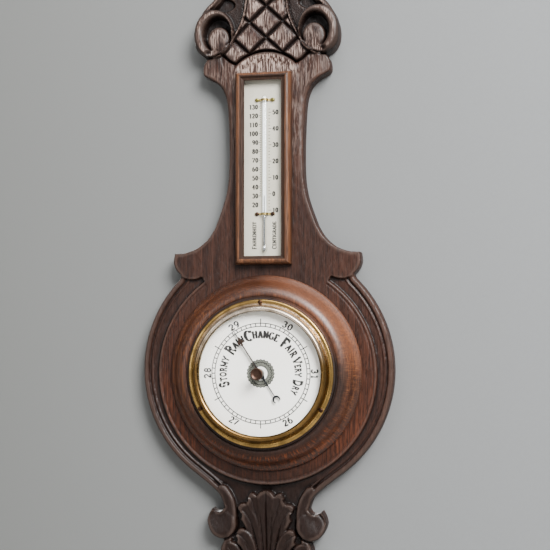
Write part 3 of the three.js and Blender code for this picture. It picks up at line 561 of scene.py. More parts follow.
COPPERY = metal("coppery_knob", rgb(74, 56, 48), rgb(34, 25, 20), 0.42, grime=0.9)
DIAL_WHITE = printed_white("dial_white", rgb(248, 244, 238), rgb(240, 234, 224), 0.32)
SCALE_WHITE = printed_white("scale_white", rgb(184, 178, 164), rgb(164, 156, 140), 0.4)
ENAMEL = printed_white("tube_enamel", rgb(250, 251, 250), rgb(240, 242, 240), 0.25)
CLEAR_GLASS = clear("clear_glass", (0.995, 1.0, 0.998, 1.0), 0.8)
TUBE_GLASS = clear("tube_glass", (0.99, 0.995, 0.99, 1.0), 1.2, edge=0.5)
DIAL_INK = ink("dial_ink", rgb(20, 19, 19), 0.08)
GREY_INK = ink("grey_ink", rgb(104, 106, 96), 0.35)
SCALE_INK = ink("scale_ink", rgb(18, 18, 17), 0.12)

# ---------------------------------------------------------------- the carved case

CELL = 0.9                       # spacing of the carving's mesh
WALL = 0.9                       # half width of the slope where one level drops to another
GROUND = FIELD_D - 8.5           # ground sunk between the carved parts
STRAP_Z = 4.0                    # centre of the strap that runs round the body
STRAP_W = 14.0
SCROLL = (61.0, 419.0)           # eye of the upper scroll
LOW_SCROLL = (56.0, -187.5)
LOW_SCROLL_R = 18.6
ARCH_Z = 347.6                   # centre and radius of the arch over the thermometer
ARCH_R = 55.1
LATTICE = 40.0                   # spacing of the lattice's crossings
LATTICE_Z = 420.0
LATTICE_LEAN = 0.94              # how far each groove climbs for its width
PALMETTE_Z = CASE_TOP - 52       # where the flutes of the crest's palmette meet
RECESS_D = 1.5                   # ledge for the rear cover
FAR = 9.0                        # a distance from a groove at which it cuts nothing


def run_on(start, *stretches):
    """Smooth stretches of an outline one after the other, with a corner between each and the next."""
    made = []
    for stretch in stretches:
        made.append(through([start, *stretch]))
        start = stretch[-1]
    return made


def right_outline():
    """The case's right edge from the crest's top down to the tail's tip."""
    top = CASE_TOP
    crest_and_neck = run_on(
        (0, top),
        [(10, top - 4), (16, top - 13), (17, top - 21)],
        [(26, top - 17), (34, top - 22), (35, top - 33)],
        [(52, 490), (67.6, 471), (79, 460), (88, 446)],
        [(92.5, 430), (92, 414), (86, 403), (75, 396.5)],
        [(80.5, 389), (81.3, 376.5), (75, 371.5)],
        [(64, 365), (55, 353.5), (49.6, 330), (47.3, 266), (50.6, 224), (64.7, 182)],
        [(74.2, 167.5), (88, 156), (104, 150), (118, 149)],
        [(119.3, 138), (116, 128.5), (109.5, 121.5)],
    )
    turn = np.radians(np.linspace(45, -55.5, 90))
    body = np.column_stack([STRAP_R * np.cos(turn), STRAP_Z + STRAP_R * np.sin(turn)])
    tail = run_on(
        (90.1, -127),
        [(71, -142), (59, -153.5), (53.5, -167.5)],
        [(57, -172.6), (63, -173.6), (69.5, -169.5)],
        [(74, -178), (75, -188), (67, -202), (54, -208)],
        [(58.5, -220), (54, -233), (43, -240)],
        [(44.5, -250), (39, -261), (28, -265.5)],
        [(27, -277), (15, -291), (0, CASE_TIP)],
    )
    return np.vstack([*crest_and_neck, body, *tail])


def nearest(line, x, z):
    """Distance from each (x, z) to a line, how far along it the nearest point lies, and that point."""
    line = np.asarray(line, float)
    best = np.full(x.shape, 1e9)
    along, near_x, near_z = (np.zeros(x.shape) for _ in range(3))
    lengths = np.hypot(*np.diff(line, axis=0).T)
    total = lengths.sum()
    before = 0.0
    for (ax, az), (bx, bz), length in zip(line[:-1], line[1:], lengths):
        if length < 1e-6:
            continue
        t = np.clip(((x - ax) * (bx - ax) + (z - az) * (bz - az)) / length**2, 0, 1)
        px = ax + t * (bx - ax)
        pz = az + t * (bz - az)
        d = np.hypot(x - px, z - pz)
        nearer = d < best
        best = np.where(nearer, d, best)
        along = np.where(nearer, (before + t * length) / total, along)
        near_x = np.where(nearer, px, near_x)
        near_z = np.where(nearer, pz, near_z)
        before += length
    return best, along, near_x, near_z


def on_case_side(line, x, z):
    """True where (x, z), with x not negative, lies on the case's side of its right edge."""
    inside = np.zeros(x.shape, bool)
    for (ax, az), (bx, bz) in zip(line[:-1], line[1:]):
        if az == bz:
            continue
        spans = (az > z) != (bz > z)
        inside ^= spans & (ax + (z - az) / (bz - az) * (bx - ax) > x)
    return inside


def share(value):
    return np.clip(value, 0, 1)


def rise(a, b, value):
    """0 at a, 1 at b, smooth between and level beyond; it falls where a is above b."""
    t = share((value - a) / (b - a))
    return t * t * (3 - 2 * t)


def lay(height, new, outside, wall=WALL):
    """Puts a new level where outside is negative, with a short slope at its edge."""
    return height + (new - height) * (1 - rise(-wall, wall, outside))


def both(*distances):
    """Outside at least one of some shapes, from the distances outside each."""
    return functools.reduce(np.maximum, distances)


def hump(distance, width, power=2):
    """1 on a line, fading to 0 beside it; a higher power keeps it level for longer."""
    return np.exp(-((distance / width) ** power))


def oval(x, z, centre, a, b):
    """Rough distance outside an upright oval; negative inside it."""
    k = np.hypot((x - centre[0]) / a, (z - centre[1]) / b)
    return (k - 1) * min(a, b)


def groove(height, distance, width, depth):
    """Cuts a rounded V along a line."""
    t = share(1 - distance / width)
    return height - depth * t * t * (3 - 2 * t)


def wobble(x, z):
    """The small unevenness of hand work, in millimetres, the same on every run."""
    broad = np.sin(x * 0.31 + 1.3 * np.sin(z * 0.11)) * np.sin(z * 0.27 + 1.1 * np.sin(x * 0.13))
    fine = 0.6 * np.sin(x * 0.83 - z * 0.21 + 2.0) * np.sin(z * 0.47 + 0.7)
    return 0.16 * (broad + fine)


def body_height(x, z, edge):
    """The round body: plain disc, sunk ground, and the two-ridged strap along the outline."""
    in_disc = BODY_R - np.hypot(x, z)
    bead = 0.5 * hump(2.2 - in_disc, 1.3) - 0.6 * hump(5 - in_disc, 1.1)
    ground = GROUND + 3.6 * rise(-146, -128, z)
    h = lay(ground, FIELD_D - 0.4 + bead, -in_disc)
    t = edge / (STRAP_W - 2.2 * rise(-135, -160, z)) * STRAP_W
    outer = (FIELD_D - 2.0) * hump(t - 4.3, 6.4, 4)
    inner = (FIELD_D - 3.6) * hump(t - 11.2, 3.0, 4)
    strap = groove(np.maximum(outer, inner), np.abs(t - 8.0), 1.7, 1.5 * rise(-172, -150, z))
    band = (FIELD_D - 1.4) * hump(t - 6.5, 8.0, 6)
    strap = np.maximum(strap, band * rise(-150, -166, z))
    return np.where(t < STRAP_W + 2, np.maximum(h, strap), h)


def neck_height(z, edge):
    """The neck and its four ears: flat, with edges that grow a little rounder up the neck."""
    worn = rise(225, 320, z) * rise(372, 350, z)
    return FIELD_D - (1.0 + 2.4 * worn) * (1 - share(edge / (2.0 + 5.0 * worn))) ** 2


def lattice_height(x, z):
    """Pillowed lozenges between crossing grooves."""
    crossings = [(z - LATTICE_Z + lean * x) / LATTICE for lean in (LATTICE_LEAN, -LATTICE_LEAN)]
    a, b = (np.abs(c - np.round(c)) * LATTICE / math.sqrt(2) for c in crossings)
    d = np.minimum(a, b)
    return groove(FIELD_D - 0.6 + 1.3 * rise(0, 10, d), d, 2.3, 3.8)


def outside_arch(x, z):
    return np.hypot(x, z - ARCH_Z) - ARCH_R


def scroll_height(x, z, edge, h, below):
    """A scroll of the crest: its outer band, the roll round its hollow, and its eye."""
    band = FIELD_D + 2.6 - 5.0 * ((edge - 4.2) / 5.2) ** 2
    band = groove(band, np.abs(edge - 7.2), 1.3, 1.8)
    h = lay(h, band, both(edge - 9.0, 400 - z, below))
    over = oval(x, z, (56.5, 464.0), 15.0, 8.5)
    h = lay(h, GROUND - 1.0, both(over, 9.4 - edge))
    rim = oval(x, z, (67.0, 427.0), 26.0, 31.5)
    hollow = oval(x, z, (62.0, 426.0), 18.0, 22.5)
    across = share(hollow / np.maximum(hollow - rim, 1e-3))
    roll = FIELD_D + 1.2 + 5.2 * np.sqrt(share(1 - (2 * across - 1) ** 2))
    h = lay(h, roll, rim + 0.6)
    h = lay(h, GROUND - 3.0 + 5.5 * rise(426, 402, z), hollow)
    eye = oval(x, z, SCROLL, 14.6, 17.2)
    h = lay(h, FIELD_D + 2.6 - 2.4 * share(1 + eye / 13.7) ** 3, eye, 1.2)
    # The roll runs into the eye from below.
    tie = oval(x, z, (66.5, 401.5), 9.0, 4.6)
    return np.where(below < 0, lay(h, FIELD_D + 0.8, tie, 2.4), h)


def crest_height(x, z, edge, h):
    """Scrolls, lattice, arch and palmette at the top of the case."""
    arch = outside_arch(x, z)
    bead = through([
        (0, 509), (12, 501), (20, 488), (25.5, 470), (28.7, 450), (35, 433), (44, 416.6), (53, 404.5),
        (59, 397),
    ])
    bead_distance, _, bead_x, bead_z = nearest(bead, x, z)
    outside_bead = np.where((x > bead_x) | (z > bead_z + 1), bead_distance, -bead_distance)
    shoulder = through([(38, 387.4), (46, 391), (57, 400), (66, 397.5), (75, 396.5)])
    shoulder_distance, _, _, shoulder_z = nearest(shoulder, x, z)
    below = np.where(x < 38.4, -arch, np.where(z > shoulder_z, -shoulder_distance, shoulder_distance))
    # Lens over the thermometer, swelling towards the arch.
    lens = FIELD_D + 1.8 * rise(-16, -3, arch) * rise(45, 37, x) * rise(372, 379, z)
    h = np.where((z > 372) & (x < 46), lay(h, lens, arch + 1.0, 1.4), h)
    # Stippled ground of the scrolls, then what stands on it.
    stipple = np.sin(1.9 * x + 0.7 * np.sin(z)) * np.sin(1.9 * z + 0.8 * np.sin(x))
    h = lay(h, FIELD_D - 4.5 + 0.5 * stipple, below)
    h = lay(h, lattice_height(x, z), both(outside_bead + 2.0, below))
    h = scroll_height(x, z, edge, h, below)
    ridge = FIELD_D + 0.6 - 1.1 * (bead_distance / 1.5) ** 2
    h = lay(h, ridge, both(bead_distance - 1.5, 411 - z, below), 0.7)
    h = groove(h, np.where((below < 0) & (z > 411), np.abs(bead_distance - 2.4), FAR), 1.2, 0.9)
    # Palmette on the crest's top.
    spread = np.degrees(np.arctan2(x, np.maximum(z - PALMETTE_Z, 1)))
    reach = np.hypot(x, z - PALMETTE_Z)
    flute = FIELD_D - 0.5 + 2.4 * np.cos(np.radians(spread * 360 / 27)) * rise(6, 20, reach)
    flute += 1.8 * rise(15, 45, reach) - 2.5 * (1 - share(edge / 3.5)) ** 2
    h = lay(h, flute, both(1.8 - outside_bead, x - 35.5, PALMETTE_Z + 6 - z))
    # Deep lines that part crest and neck.
    h = groove(h, np.where((x < 38.6) & (z > 372), np.abs(arch), FAR), 2.4, 5.0)
    return groove(h, shoulder_distance, 2.4, 4.6)


def leaf(h, x, z, points, half_width, lift):
    """One leaf: blunt curled tip at the first point, cupped, tapering along its curve to the root."""
    spine = through(points, 6)
    distance, along, _, _ = nearest(spine, x, z)
    run = along * np.hypot(*np.diff(spine, axis=0).T).sum()
    blunt = np.sqrt(share(1 - (1 - share(run / half_width)) ** 2))
    half = np.maximum(half_width * blunt * (1 - 0.62 * along), 0.2)
    across = share(distance / half)
    curl = 0.3 + 0.7 * (1 - rise(0.0, 0.95, along))
    height = GROUND + lift * curl * (0.9 + 0.14 * across**2) - 0.9 * hump(distance, 0.9)
    height -= 1.8 * rise(0.7, 1.0, across)
    return np.maximum(h, lay(h, height, distance - half, 0.8))


# The tail's leaves from the lowest layer to the highest: the line of each, its half width and its lift.
LEAVES = (
    ([(51, -213), (44, -221), (33, -240), (22, -264), (13, -284)], 12.5, 8.0),
    ([(40, -241), (30, -256), (17, -280), (8, -294)], 10.5, 7.0),
    ([(23, -267), (15, -280), (7, -293), (2, -298)], 9.5, 6.5),
    ([(37, -200), (31, -202), (22, -214), (14, -242), (6, -272)], 12.0, 9.0),
    ([(33, -172), (27.5, -171), (18, -188), (11, -222), (5, -256)], 11.5, 9.4),
    ([(0, -246), (0, -262), (0, -280), (0, -299)], 10.5, 8.6),
    ([(22, -153), (17.5, -157), (12, -180), (4, -232)], 9.5, 10.2),
    ([(0, -145), (0, -166), (0, -196), (0, -238)], 13.5, 11.4),
)
LEAF_VEINS = (
    [(3, -236), (8.5, -164)], [(6, -240), (19, -184)], [(9, -252), (28, -206)], [(0, -240), (0, -152)],
)


def tail_height(x, z, h):
    """The hanging leaves below the body."""
    h = np.where(z < -203, np.maximum(h, GROUND + 1.0), h)
    for points, half_width, lift in LEAVES:
        h = leaf(h, x, z, points, half_width, lift)
    for vein in LEAF_VEINS:
        distance, along, _, _ = nearest(vein, x, z)
        h = groove(h, distance, 1.5, 1.5 * rise(1.0, 0.75, along))
    return h


def low_scroll_height(x, z, h):
    """The strap's end rolls over into the low scroll: one smooth cup, deepest below its outer horn."""
    eye = np.hypot(x - LOW_SCROLL[0], z - LOW_SCROLL[1])
    from_horn = np.hypot(x - 68, z + 174)
    cup = FIELD_D - 4.6 + 5.2 * rise(0, 30, from_horn) - 1.6 * rise(LOW_SCROLL_R - 5, LOW_SCROLL_R + 1, eye)
    joined = rise(-186, -172, z) * rise(66, 56, x)
    h = lay(h, np.maximum(cup, (FIELD_D - 1.6) * joined), eye - LOW_SCROLL_R, 1.4)
    cut_free = (eye > LOW_SCROLL_R - 2) & (z < -176) & (x < 62)
    h = groove(h, np.where(cut_free, np.abs(eye - LOW_SCROLL_R - 0.9), FAR), 1.8, 3.0)
    hook = through([
        (68, -132), (56, -145), (47.5, -158), (43.5, -171), (42.5, -184), (47, -196), (57, -202),
    ])
    distance, along, _, _ = nearest(hook, x, z)
    half = 6.6 - 3.4 * rise(0.3, 1.0, along)
    curl = FIELD_D - 0.8 - 1.6 * (distance / half) ** 2
    fade_in = 9.0 * rise(0.22, 0.1, along)
    return np.maximum(h, lay(h, curl, distance - half + fade_in, 1.0))


def carving(x, z, edge):
    """Depth of the wood's surface at (x, z), for x not negative; edge is how far in from the outline."""
    ear = through([
        (0, 60), (60, 90), (78, 112), (82, 118.5), (90, 116.5), (98, 116), (106, 118.4), (122, 124),
    ])
    under_ear = np.interp(x, ear[:, 0], ear[:, 1])
    h = lay(body_height(x, z, edge), neck_height(z, edge), under_ear - z, 1.2)
    h = np.where(z > 366, crest_height(x, z, edge, h), h)
    # Ears beside the arch fall away outwards, with worn flutes running down to the neck.
    h = h - 1.6 * rise(66, 82, x) * rise(400, 394, z) * rise(355, 366, z)
    for flute in ([(40, 386), (43.5, 360), (47.5, 336)], [(57, 397), (52, 380), (53.5, 362)]):
        distance, along, _, _ = nearest(flute, x, z)
        h = groove(h, distance, 3.6, 1.0 * (1 - along))
    h = np.where(z < -140, tail_height(x, z, h), h)
    h = low_scroll_height(x, z, h)
    ease = 1.3                   # radius that every edge of the outline is rubbed to
    h = h - ease * (1 - np.sqrt(1 - (1 - share(edge / ease)) ** 2))
    return h + wobble(x, z) * rise(0, 3, edge)


def blurred(grid, cells):
    """Box blur of a grid, run three times."""
    for _ in range(3):
        for axis in (0, 1):
            grid = sum(np.roll(grid, s, axis) for s in range(-cells, cells + 1)) / (2 * cells + 1)
    return grid


def case_grid():
    """A grid over the right half of the case, pulled on to its outline and its bore: x, z and depth at
    each place, whether it is part of the case, how far outside the outline, and whether it is on it."""
    line = right_outline()
    columns = np.arange(0, int((STRAP_R + 3) / CELL) + 1) * CELL
    x, z = np.meshgrid(columns, np.arange(CASE_TIP - 3, CASE_TOP + 3, CELL))
    distance, _, near_x, near_z = nearest(line, x, z)
    outside = np.where(on_case_side(line, x, z), -distance, distance)
    r = np.hypot(x, z)
    near = 0.62 * CELL
    on_edge = np.abs(outside) < near
    on_bore = np.abs(BORE_R - r) < near
    x = np.where(on_edge, near_x, x)
    z = np.where(on_edge, near_z, z)
    x = np.where(on_bore, x * BORE_R / np.maximum(r, 1), x)
    z = np.where(on_bore, z * BORE_R / np.maximum(r, 1), z)
    x[:, 0] = 0.0
    depth = carving(x, z, np.where(on_edge, 0.0, np.maximum(-outside, 0)))
    keep = ((outside < 0) | on_edge) & ((BORE_R - r < 0) | on_bore)
    return x, z, depth, keep, outside, on_edge


def case_shades(x, z, depth, outside, on_edge):
    """What carved_oak's material is guided by, each from 0 to 1 (wear from -1 to 1), over the grid."""
    half = x.shape[1] - 1
    level = np.where(outside < 0, depth, GROUND - 2)
    mirror = np.hstack([level[:, :0:-1], level])
    # Wear: above the blurred surface on raised edges (paler, partly a painted highlight), below it in
    # hollows (painted shade).
    wear = np.clip((mirror - blurred(mirror, 3)) / 1.6, -1, 1)[:, half:]
    slope = np.hypot(*np.gradient(blurred(mirror, 1), CELL))[:, half:]
    flat = 1 - rise(0.2, 0.5, slope)
    on_crest = rise(352, 384, z) * (z < CASE_TOP)
    proud = rise(FIELD_D - 2.2, FIELD_D - 0.8, depth)
    by_arch = rise(36, 44, x) * rise(402, 396, z)
    strength = (0.75 + 0.25 * rise(0, -2, outside_arch(x, z))) * (1 - 0.8 * by_arch)
    fleck = flat * proud * np.maximum(on_crest * strength, 0.22 * rise(200, 330, z))
    fleck = np.where(oval(x, z, SCROLL, 13.0, 16.0) < 0, 0.5 * flat, fleck) * rise(496, 488, z)
    # The sides of the case stay plain.
    wear = np.where(on_edge, 0.0, wear)
    fleck = np.where(on_edge, 0.0, fleck)
    # Darker carving on the crest's top away from the fleck, and painted shade deepening towards the bottom.
    shade = np.maximum(rise(380, 400, z) * (1 - fleck), rise(-60, -160, z))
    near_dial = rise(BODY_R + 0.5, BODY_R - 1.5, np.hypot(x, z)) * rise(118, 60, z)
    ruddy = near_dial * (0.35 + 0.65 * rise(60, -90, z))
    return {"wear": wear, "fleck": fleck, "ruddy": ruddy, "shade": shade}


def carved_case():
    """The board as one closed mesh: carved front, straight sides, flat back with its recesses."""
    x, z, depth, keep, outside, on_edge = case_grid()
    layers = case_shades(x, z, depth, outside, on_edge)
    work = bmesh.new()
    stored = [work.verts.layers.float.new(name) for name in layers]
    made = {}

    def vertex(i, j, side):
        key = (i, j, side if j else 0)
        if key not in made:
            made[key] = work.verts.new((side * x[i, j], -depth[i, j], z[i, j]))
            for layer, grid in zip(stored, layers.values()):
                made[key][layer] = grid[i, j]
        return made[key]

    for side in (1, -1):
        for i in range(x.shape[0] - 1):
            for j in range(x.shape[1] - 1):
                corners = [c for c in ((i, j), (i, j + 1), (i + 1, j + 1), (i + 1, j)) if keep[c]]
                if len(corners) >= 3:
                    work.faces.new([vertex(a, b, side) for a, b in corners][::side])
    bmesh.ops.remove_doubles(work, verts=work.verts[:], dist=0.02)
    for v in [v for v in work.verts if not v.link_faces]:
        work.verts.remove(v)

    def drop(edges, depth):
        """Carries a rim straight back to a depth and returns the new rim."""
        grown = bmesh.ops.extrude_edge_only(work, edges=edges)["geom"]
        for g in grown:
            if isinstance(g, bmesh.types.BMVert):
                g.co.y = -depth
                for layer in stored:
                    g[layer] = 0.0
        return [g for g in grown if isinstance(g, bmesh.types.BMEdge)]

    def back_rim(points):
        corners = [work.verts.new((px, 0.0, pz)) for px, pz in points]
        return [work.edges.new((a, b)) for a, b in zip(corners, corners[1:] + corners[:1])]

    def filled(edges):
        bmesh.ops.triangle_fill(work, use_beauty=True, edges=edges)

    rim = [e for e in work.edges if e.is_boundary]
    bore_rim = [e for e in rim if all(math.hypot(v.co.x, v.co.z) < BORE_R + 2 for v in e.verts)]
    of_bore = set(bore_rim)
    sides = drop([e for e in rim if e not in of_bore], 0.0)
    bore = drop(bore_rim, RECESS_D)
    recess = back_rim(circle(COVER_R + FIT, steps=128)[:-1])
    x0, x1 = HANGER_LOW[0] - FIT, HANGER_HIGH[0] + FIT
    z0, z1 = HANGER_LOW[2] - FIT, HANGER_HIGH[2] + FIT
    pocket = back_rim([(x0, z0), (x1, z0), (x1, z1), (x0, z1)])
    filled(sides + recess + pocket)
    filled(drop(recess, RECESS_D) + bore)
    filled(drop(pocket, FIT - HANGER_LOW[1]))
    bmesh.ops.recalc_face_normals(work, faces=work.faces)
    for v in work.verts:
        v.co *= MM
    obj = new_object("carved_case", [], [])
    work.to_mesh(obj.data)
    work.free()
    obj.data.materials.append(CARVED_OAK)
    obj.data.shade_smooth()
    obj.data.set_sharp_from_angle(angle=math.radians(58))
    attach(obj, "case")
    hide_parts("case_board")


carved_case()

# ---------------------------------------------------------------- turned surround, bezel and glass


def turned_surround():
    back = FIELD_D + FIT
    r = SURROUND_R
    top = SURROUND_FRONT
    shelf = DIAL_FRONT - 1.5
    slope = smooth([
        (r - 1.2, back + 4.2), (r - 3.4, 28.3), (r - 7.2, 32), (r - 10, 36.6), (r - 12.6, 40.6),
        (r - 16, 44.2), (r - 20, 46.6), (r - 23.6, 47.5), (r - 25.6, 47.2),
    ])
    flat = [
        (r - 26.6, 46.4), (r - 27.4, 46.5), (r - 28.0, 48.2), (r - 28.2, top - 1.6), (r - 28.6, top - 0.5),
        (r - 29.6, top), (r - 42.2, top), (r - 42.5, top - 0.3), (r - 42.5, shelf),
    ]
    profile = [(BORE_R, back), (r, back), (r, back + 2.6), *slope, *flat, (BORE_R, shelf)]
    new_piece("turned_surround_ring", lathe(profile, 256), TURNED_OAK, ["turned_surround"],
              angle=32)


def bezel():
    back = SURROUND_FRONT + FIT
    flange = SURROUND_FRONT + 2.2
    crown = BEZEL_FRONT
    lip = GLASS_FRONT + FIT
    r = BEZEL_R
    flat = smooth([
        (r, back + 0.9), (r - 0.35, flange - 0.5), (r - 1.2, flange), (r - 3.0, flange + 0.25),
        (r - 4.8, flange), (r - 5.5, flange - 0.45), (r - 6.0, flange - 0.5), (r - 6.4, flange + 0.1),
    ], 4)
    inner = smooth([
        (r - 6.6, flange + 0.9), (r - 7.2, 58.0), (r - 8.4, 60.8), (r - 10.0, crown - 0.4),
        (r - 11.6, crown), (r - 13.2, crown - 0.7), (OPENING_R + 0.2, crown - 1.6),
    ])
    profile = [
        (r, back), *flat, *inner, (OPENING_R, crown - 2.0), (OPENING_R, lip), (OPENING_R + 2, lip),
        (OPENING_R + 2, back),
    ]
    new_piece("bezel_ring", lathe(profile, 256), BEZEL_BRASS, ["bezel"], angle=38)


def bezel_glass():
    edge = OPENING_R + 1.6
    hole = 4.8
    front = GLASS_FRONT
    face = smooth([(edge, front - 1.3), (edge - 4, front - 0.5), (OPENING_R - 6, front)], 4)
    profile = [(hole, GLASS_BACK), (edge, GLASS_BACK), *face, (hole, front)]
    new_piece("dial_glass", lathe(profile, 160), CLEAR_GLASS, ["bezel_glass"], angle=25)


def screw_head(node, middle, front, radius, height, slot_degrees, material, facing=1):
    """A round-headed slotted screw; front is the depth of its crown, and facing is -1 on the back."""
    x, z = middle
    under = front - facing * height
    shank = 0.45 * radius
    root = under - facing * 2.0
    turns = np.radians(np.linspace(15, 90, 5))
    dome = [(radius * math.sin(a), under + facing * height * (0.25 + 0.75 * math.cos(a))) for a in turns]
    profile = [(0, front), *dome, (radius, under), (shank, under), (shank, root), (0, root)]
    obj = new_piece(f"{node}_head", lathe(profile, 32, x, z), material, [node], angle=35)
    turn = math.radians(slot_degrees)
    sin, cos = math.sin(turn), math.cos(turn)
    reach = 1.4 * radius
    half = 0.16 * radius
    outline = [
        (x + s * reach * sin + t * half * cos, z + s * reach * cos - t * half * sin)
        for s, t in ((1, 1), (1, -1), (-1, -1), (-1, 1))
    ]
    floor, above = sorted((front - facing * height * 0.55, front + facing * 1.0))
    cutter = new_object("slot", *prism(outline, floor, above))
    cut = obj.modifiers.new("slot", "BOOLEAN")
    cut.operation = "DIFFERENCE"
    cut.solver = "EXACT"
    cut.object = cutter
    bpy.context.view_layer.update()
    finished = bpy.data.meshes.new_from_object(obj.evaluated_get(bpy.context.evaluated_depsgraph_get()))
    obj.modifiers.clear()
    obj.data = finished
    bpy.data.objects.remove(cutter)
    finish_mesh(obj, 35)


turned_surround()
bezel()
bezel_glass()
BEZEL_SCREW_R = BEZEL_R - 3.4
for number, (degrees, slot_degrees) in enumerate(((0, 10), (240, 62), (120, 118)), 1):
    screw_head(f"bezel_screw_{number}", polar(BEZEL_SCREW_R, degrees), SURROUND_FRONT + 3.4, 2.8, 1.4,
               slot_degrees, DARK_SCREW)

# ---------------------------------------------------------------- lettering


def arc(cx, cy, rx, ry, start, end):
    """Points on part of an oval, counting degrees anticlockwise from the right."""
    steps = max(4, int(abs(end - start) / 12))
    t = np.radians(np.linspace(start, end, steps + 1))
    return np.column_stack([cx + rx * np.cos(t), cy + ry * np.sin(t)])


def bar(*places):
    """A straight or bent stroke through places given as x, y, x, y and so on."""
    return np.array(places, float).reshape(-1, 2)


def foot(x, y=0):
    return bar(x - 13, y, x + 13, y)


def stem(x, serifs="both", high=100):
    """An upright stroke with its serifs."""
    strokes = [bar(x, 0, x, high)]
    if serifs != "head":
        strokes.append(bar(x - 14, 0, x + 14, 0))
    if serifs != "foot":
        strokes.append(bar(x - 14, high, x + 14, high))
    return strokes


# Each character: its width, then its strokes, in a box 100 units high.
GLYPHS = {
    " ": (40, []),
    "A": (74, [bar(8, 0, 37, 100), bar(37, 100, 66, 0), bar(17, 36, 57, 36), foot(8), foot(66)]),
    "C": (74, [arc(42, 50, 33, 50, 48, 312), bar(68, 98, 66, 74)]),
    "D": (78, [*stem(16), arc(30, 50, 38, 50, -90, 90), bar(16, 100, 30, 100), bar(16, 0, 30, 0)]),
    "E": (66, [*stem(16), bar(16, 100, 58, 100, 58, 80), bar(16, 0, 60, 0, 60, 20), bar(16, 52, 46, 52)]),
    "F": (64, [*stem(16), bar(16, 100, 60, 100, 60, 78), bar(16, 50, 46, 50)]),
    "G": (80, [arc(42, 50, 33, 50, 48, 322), bar(68, 0, 68, 42), bar(54, 42, 80, 42)]),
    "H": (84, [*stem(17), *stem(67), bar(17, 50, 67, 50)]),
    "I": (36, stem(18)),
    "M": (100, [*stem(15), *stem(85), bar(15, 100, 50, 12), bar(50, 12, 85, 100)]),
    "N": (84, [*stem(15), *stem(69, "head"), bar(15, 100, 69, 0)]),
    "O": (80, [arc(40, 50, 32, 50, 0, 360)]),
    "R": (78, [*stem(16), arc(34, 76, 22, 24, -90, 90), bar(16, 100, 34, 100), bar(16, 52, 34, 52),
               bar(36, 52, 66, 0), foot(70)]),
    "S": (64, [arc(32, 74, 22, 26, 30, 250), arc(32, 26, 24, 27, 85, -155), bar(52, 100, 52, 80),
               bar(9, 0, 9, 20)]),
    "T": (70, [*stem(35, "foot"), bar(5, 80, 5, 100, 65, 100, 65, 80)]),
    "V": (74, [bar(8, 100, 37, 0), bar(37, 0, 66, 100), foot(8, 100), foot(66, 100)]),
    "Y": (74, [bar(8, 100, 37, 46), bar(66, 100, 37, 46), *stem(37, "foot", 46), foot(8, 100),
               foot(66, 100)]),
    "0": (62, [arc(31, 50, 22, 50, 0, 360)]),
    "1": (50, [*stem(27, "foot"), bar(27, 100, 10, 80)]),
    "2": (62, [arc(30, 72, 21, 28, 170, -30), bar(49, 60, 8, 0), bar(8, 0, 54, 0, 54, 16)]),
    "3": (60, [arc(28, 76, 19, 24, 160, -90), arc(28, 26, 23, 27, 90, -160)]),
    "4": (64, [*stem(42, "foot"), bar(42, 100, 6, 30, 58, 30)]),
    "5": (60, [bar(50, 100, 14, 100, 12, 56), arc(28, 32, 23, 32, 130, -150)]),
    "6": (62, [arc(31, 30, 22, 30, 0, 360), arc(42, 42, 33, 58, 95, 200)]),
    "7": (60, [bar(4, 80, 4, 100, 56, 100, 18, 0)]),
    "8": (62, [arc(31, 76, 18, 24, 0, 360), arc(31, 26, 22, 27, 0, 360)]),
    "9": (62, [arc(31, 70, 22, 30, 0, 360), arc(20, 58, 33, 58, -85, 20)]),
}
INK_THICK = 0.08
HAIR = 0.003                      # what each stroke of printing is lifted above the one before


def ribbon(points, width, front, thin=None):
    """A printed line along (x, z) points: width across upright strokes, thin across level ones."""
    p = np.asarray(points, float)
    closed = np.hypot(*(p[0] - p[-1])) < 1e-6
    if closed:
        p = p[:-1]
    count = len(p)
    thin = width if thin is None else thin
    vertices = []
    for k in range(count):
        before = p[k - 1] if k or closed else p[0]
        after = p[(k + 1) % count] if k < count - 1 or closed else p[-1]
        step = after - before
        step = step / max(np.hypot(*step), 1e-9)
        side = np.array([-step[1], step[0]]) * 0.5 * math.hypot(width * step[1], thin * step[0])
        for s, d in ((1, front + INK_THICK), (-1, front + INK_THICK), (-1, front), (1, front)):
            q = p[k] + s * side
            vertices.append((q[0], -d, q[1]))
    return vertices, tube_faces(count, 4, closed)


def printed(text, place, size, front, pens, spacing, initial=1.0, wide=1.0):
    """A line of text as ribbons, centred on the place: place(u, v) puts flat text where it belongs. The
    pens are the widths of upright and level strokes, initial enlarges the first letter of each word, and
    wide stretches the text. Each stroke lies a hair above the one before, so that no faces coincide."""
    sizes = [size * (initial if k == 0 or text[k - 1] == " " else 1.0) for k in range(len(text))]
    widths = [(GLYPHS[c][0] / 100 + spacing) * s * wide for c, s in zip(text, sizes)]
    u = -sum(widths) / 2
    ribbons = []
    for c, s, w in zip(text, sizes, widths):
        hang = (s - size) * 0.35
        for stroke in GLYPHS[c][1]:
            if len(stroke) == 2:
                stroke = np.array([stroke[0], stroke.mean(axis=0), stroke[1]])
            laid = [place(u + (x / 100 + spacing / 2) * s * wide, y / 100 * s - hang) for x, y in stroke]
            lift = HAIR * (len(ribbons) % 20)
            ribbons.append(ribbon(laid, pens[0] * s / size, front + lift, pens[1]))
        u += w
    return ribbons


def on_circle(radius, degrees, outward=True):
    """Lays text along a circle about the dial's axis; degrees clockwise from the top."""
    side = 1 if outward else -1

    def place(u, v):
        angle = math.radians(degrees) + side * u / radius
        reach = radius + side * v
        return reach * math.sin(angle), reach * math.cos(angle)

    return place


def on_line(x, z, upwards=False):
    def place(u, v):
        return (x - v, z + u) if upwards else (x + u, z + v)

    return place


# ---------------------------------------------------------------- printing on the dial

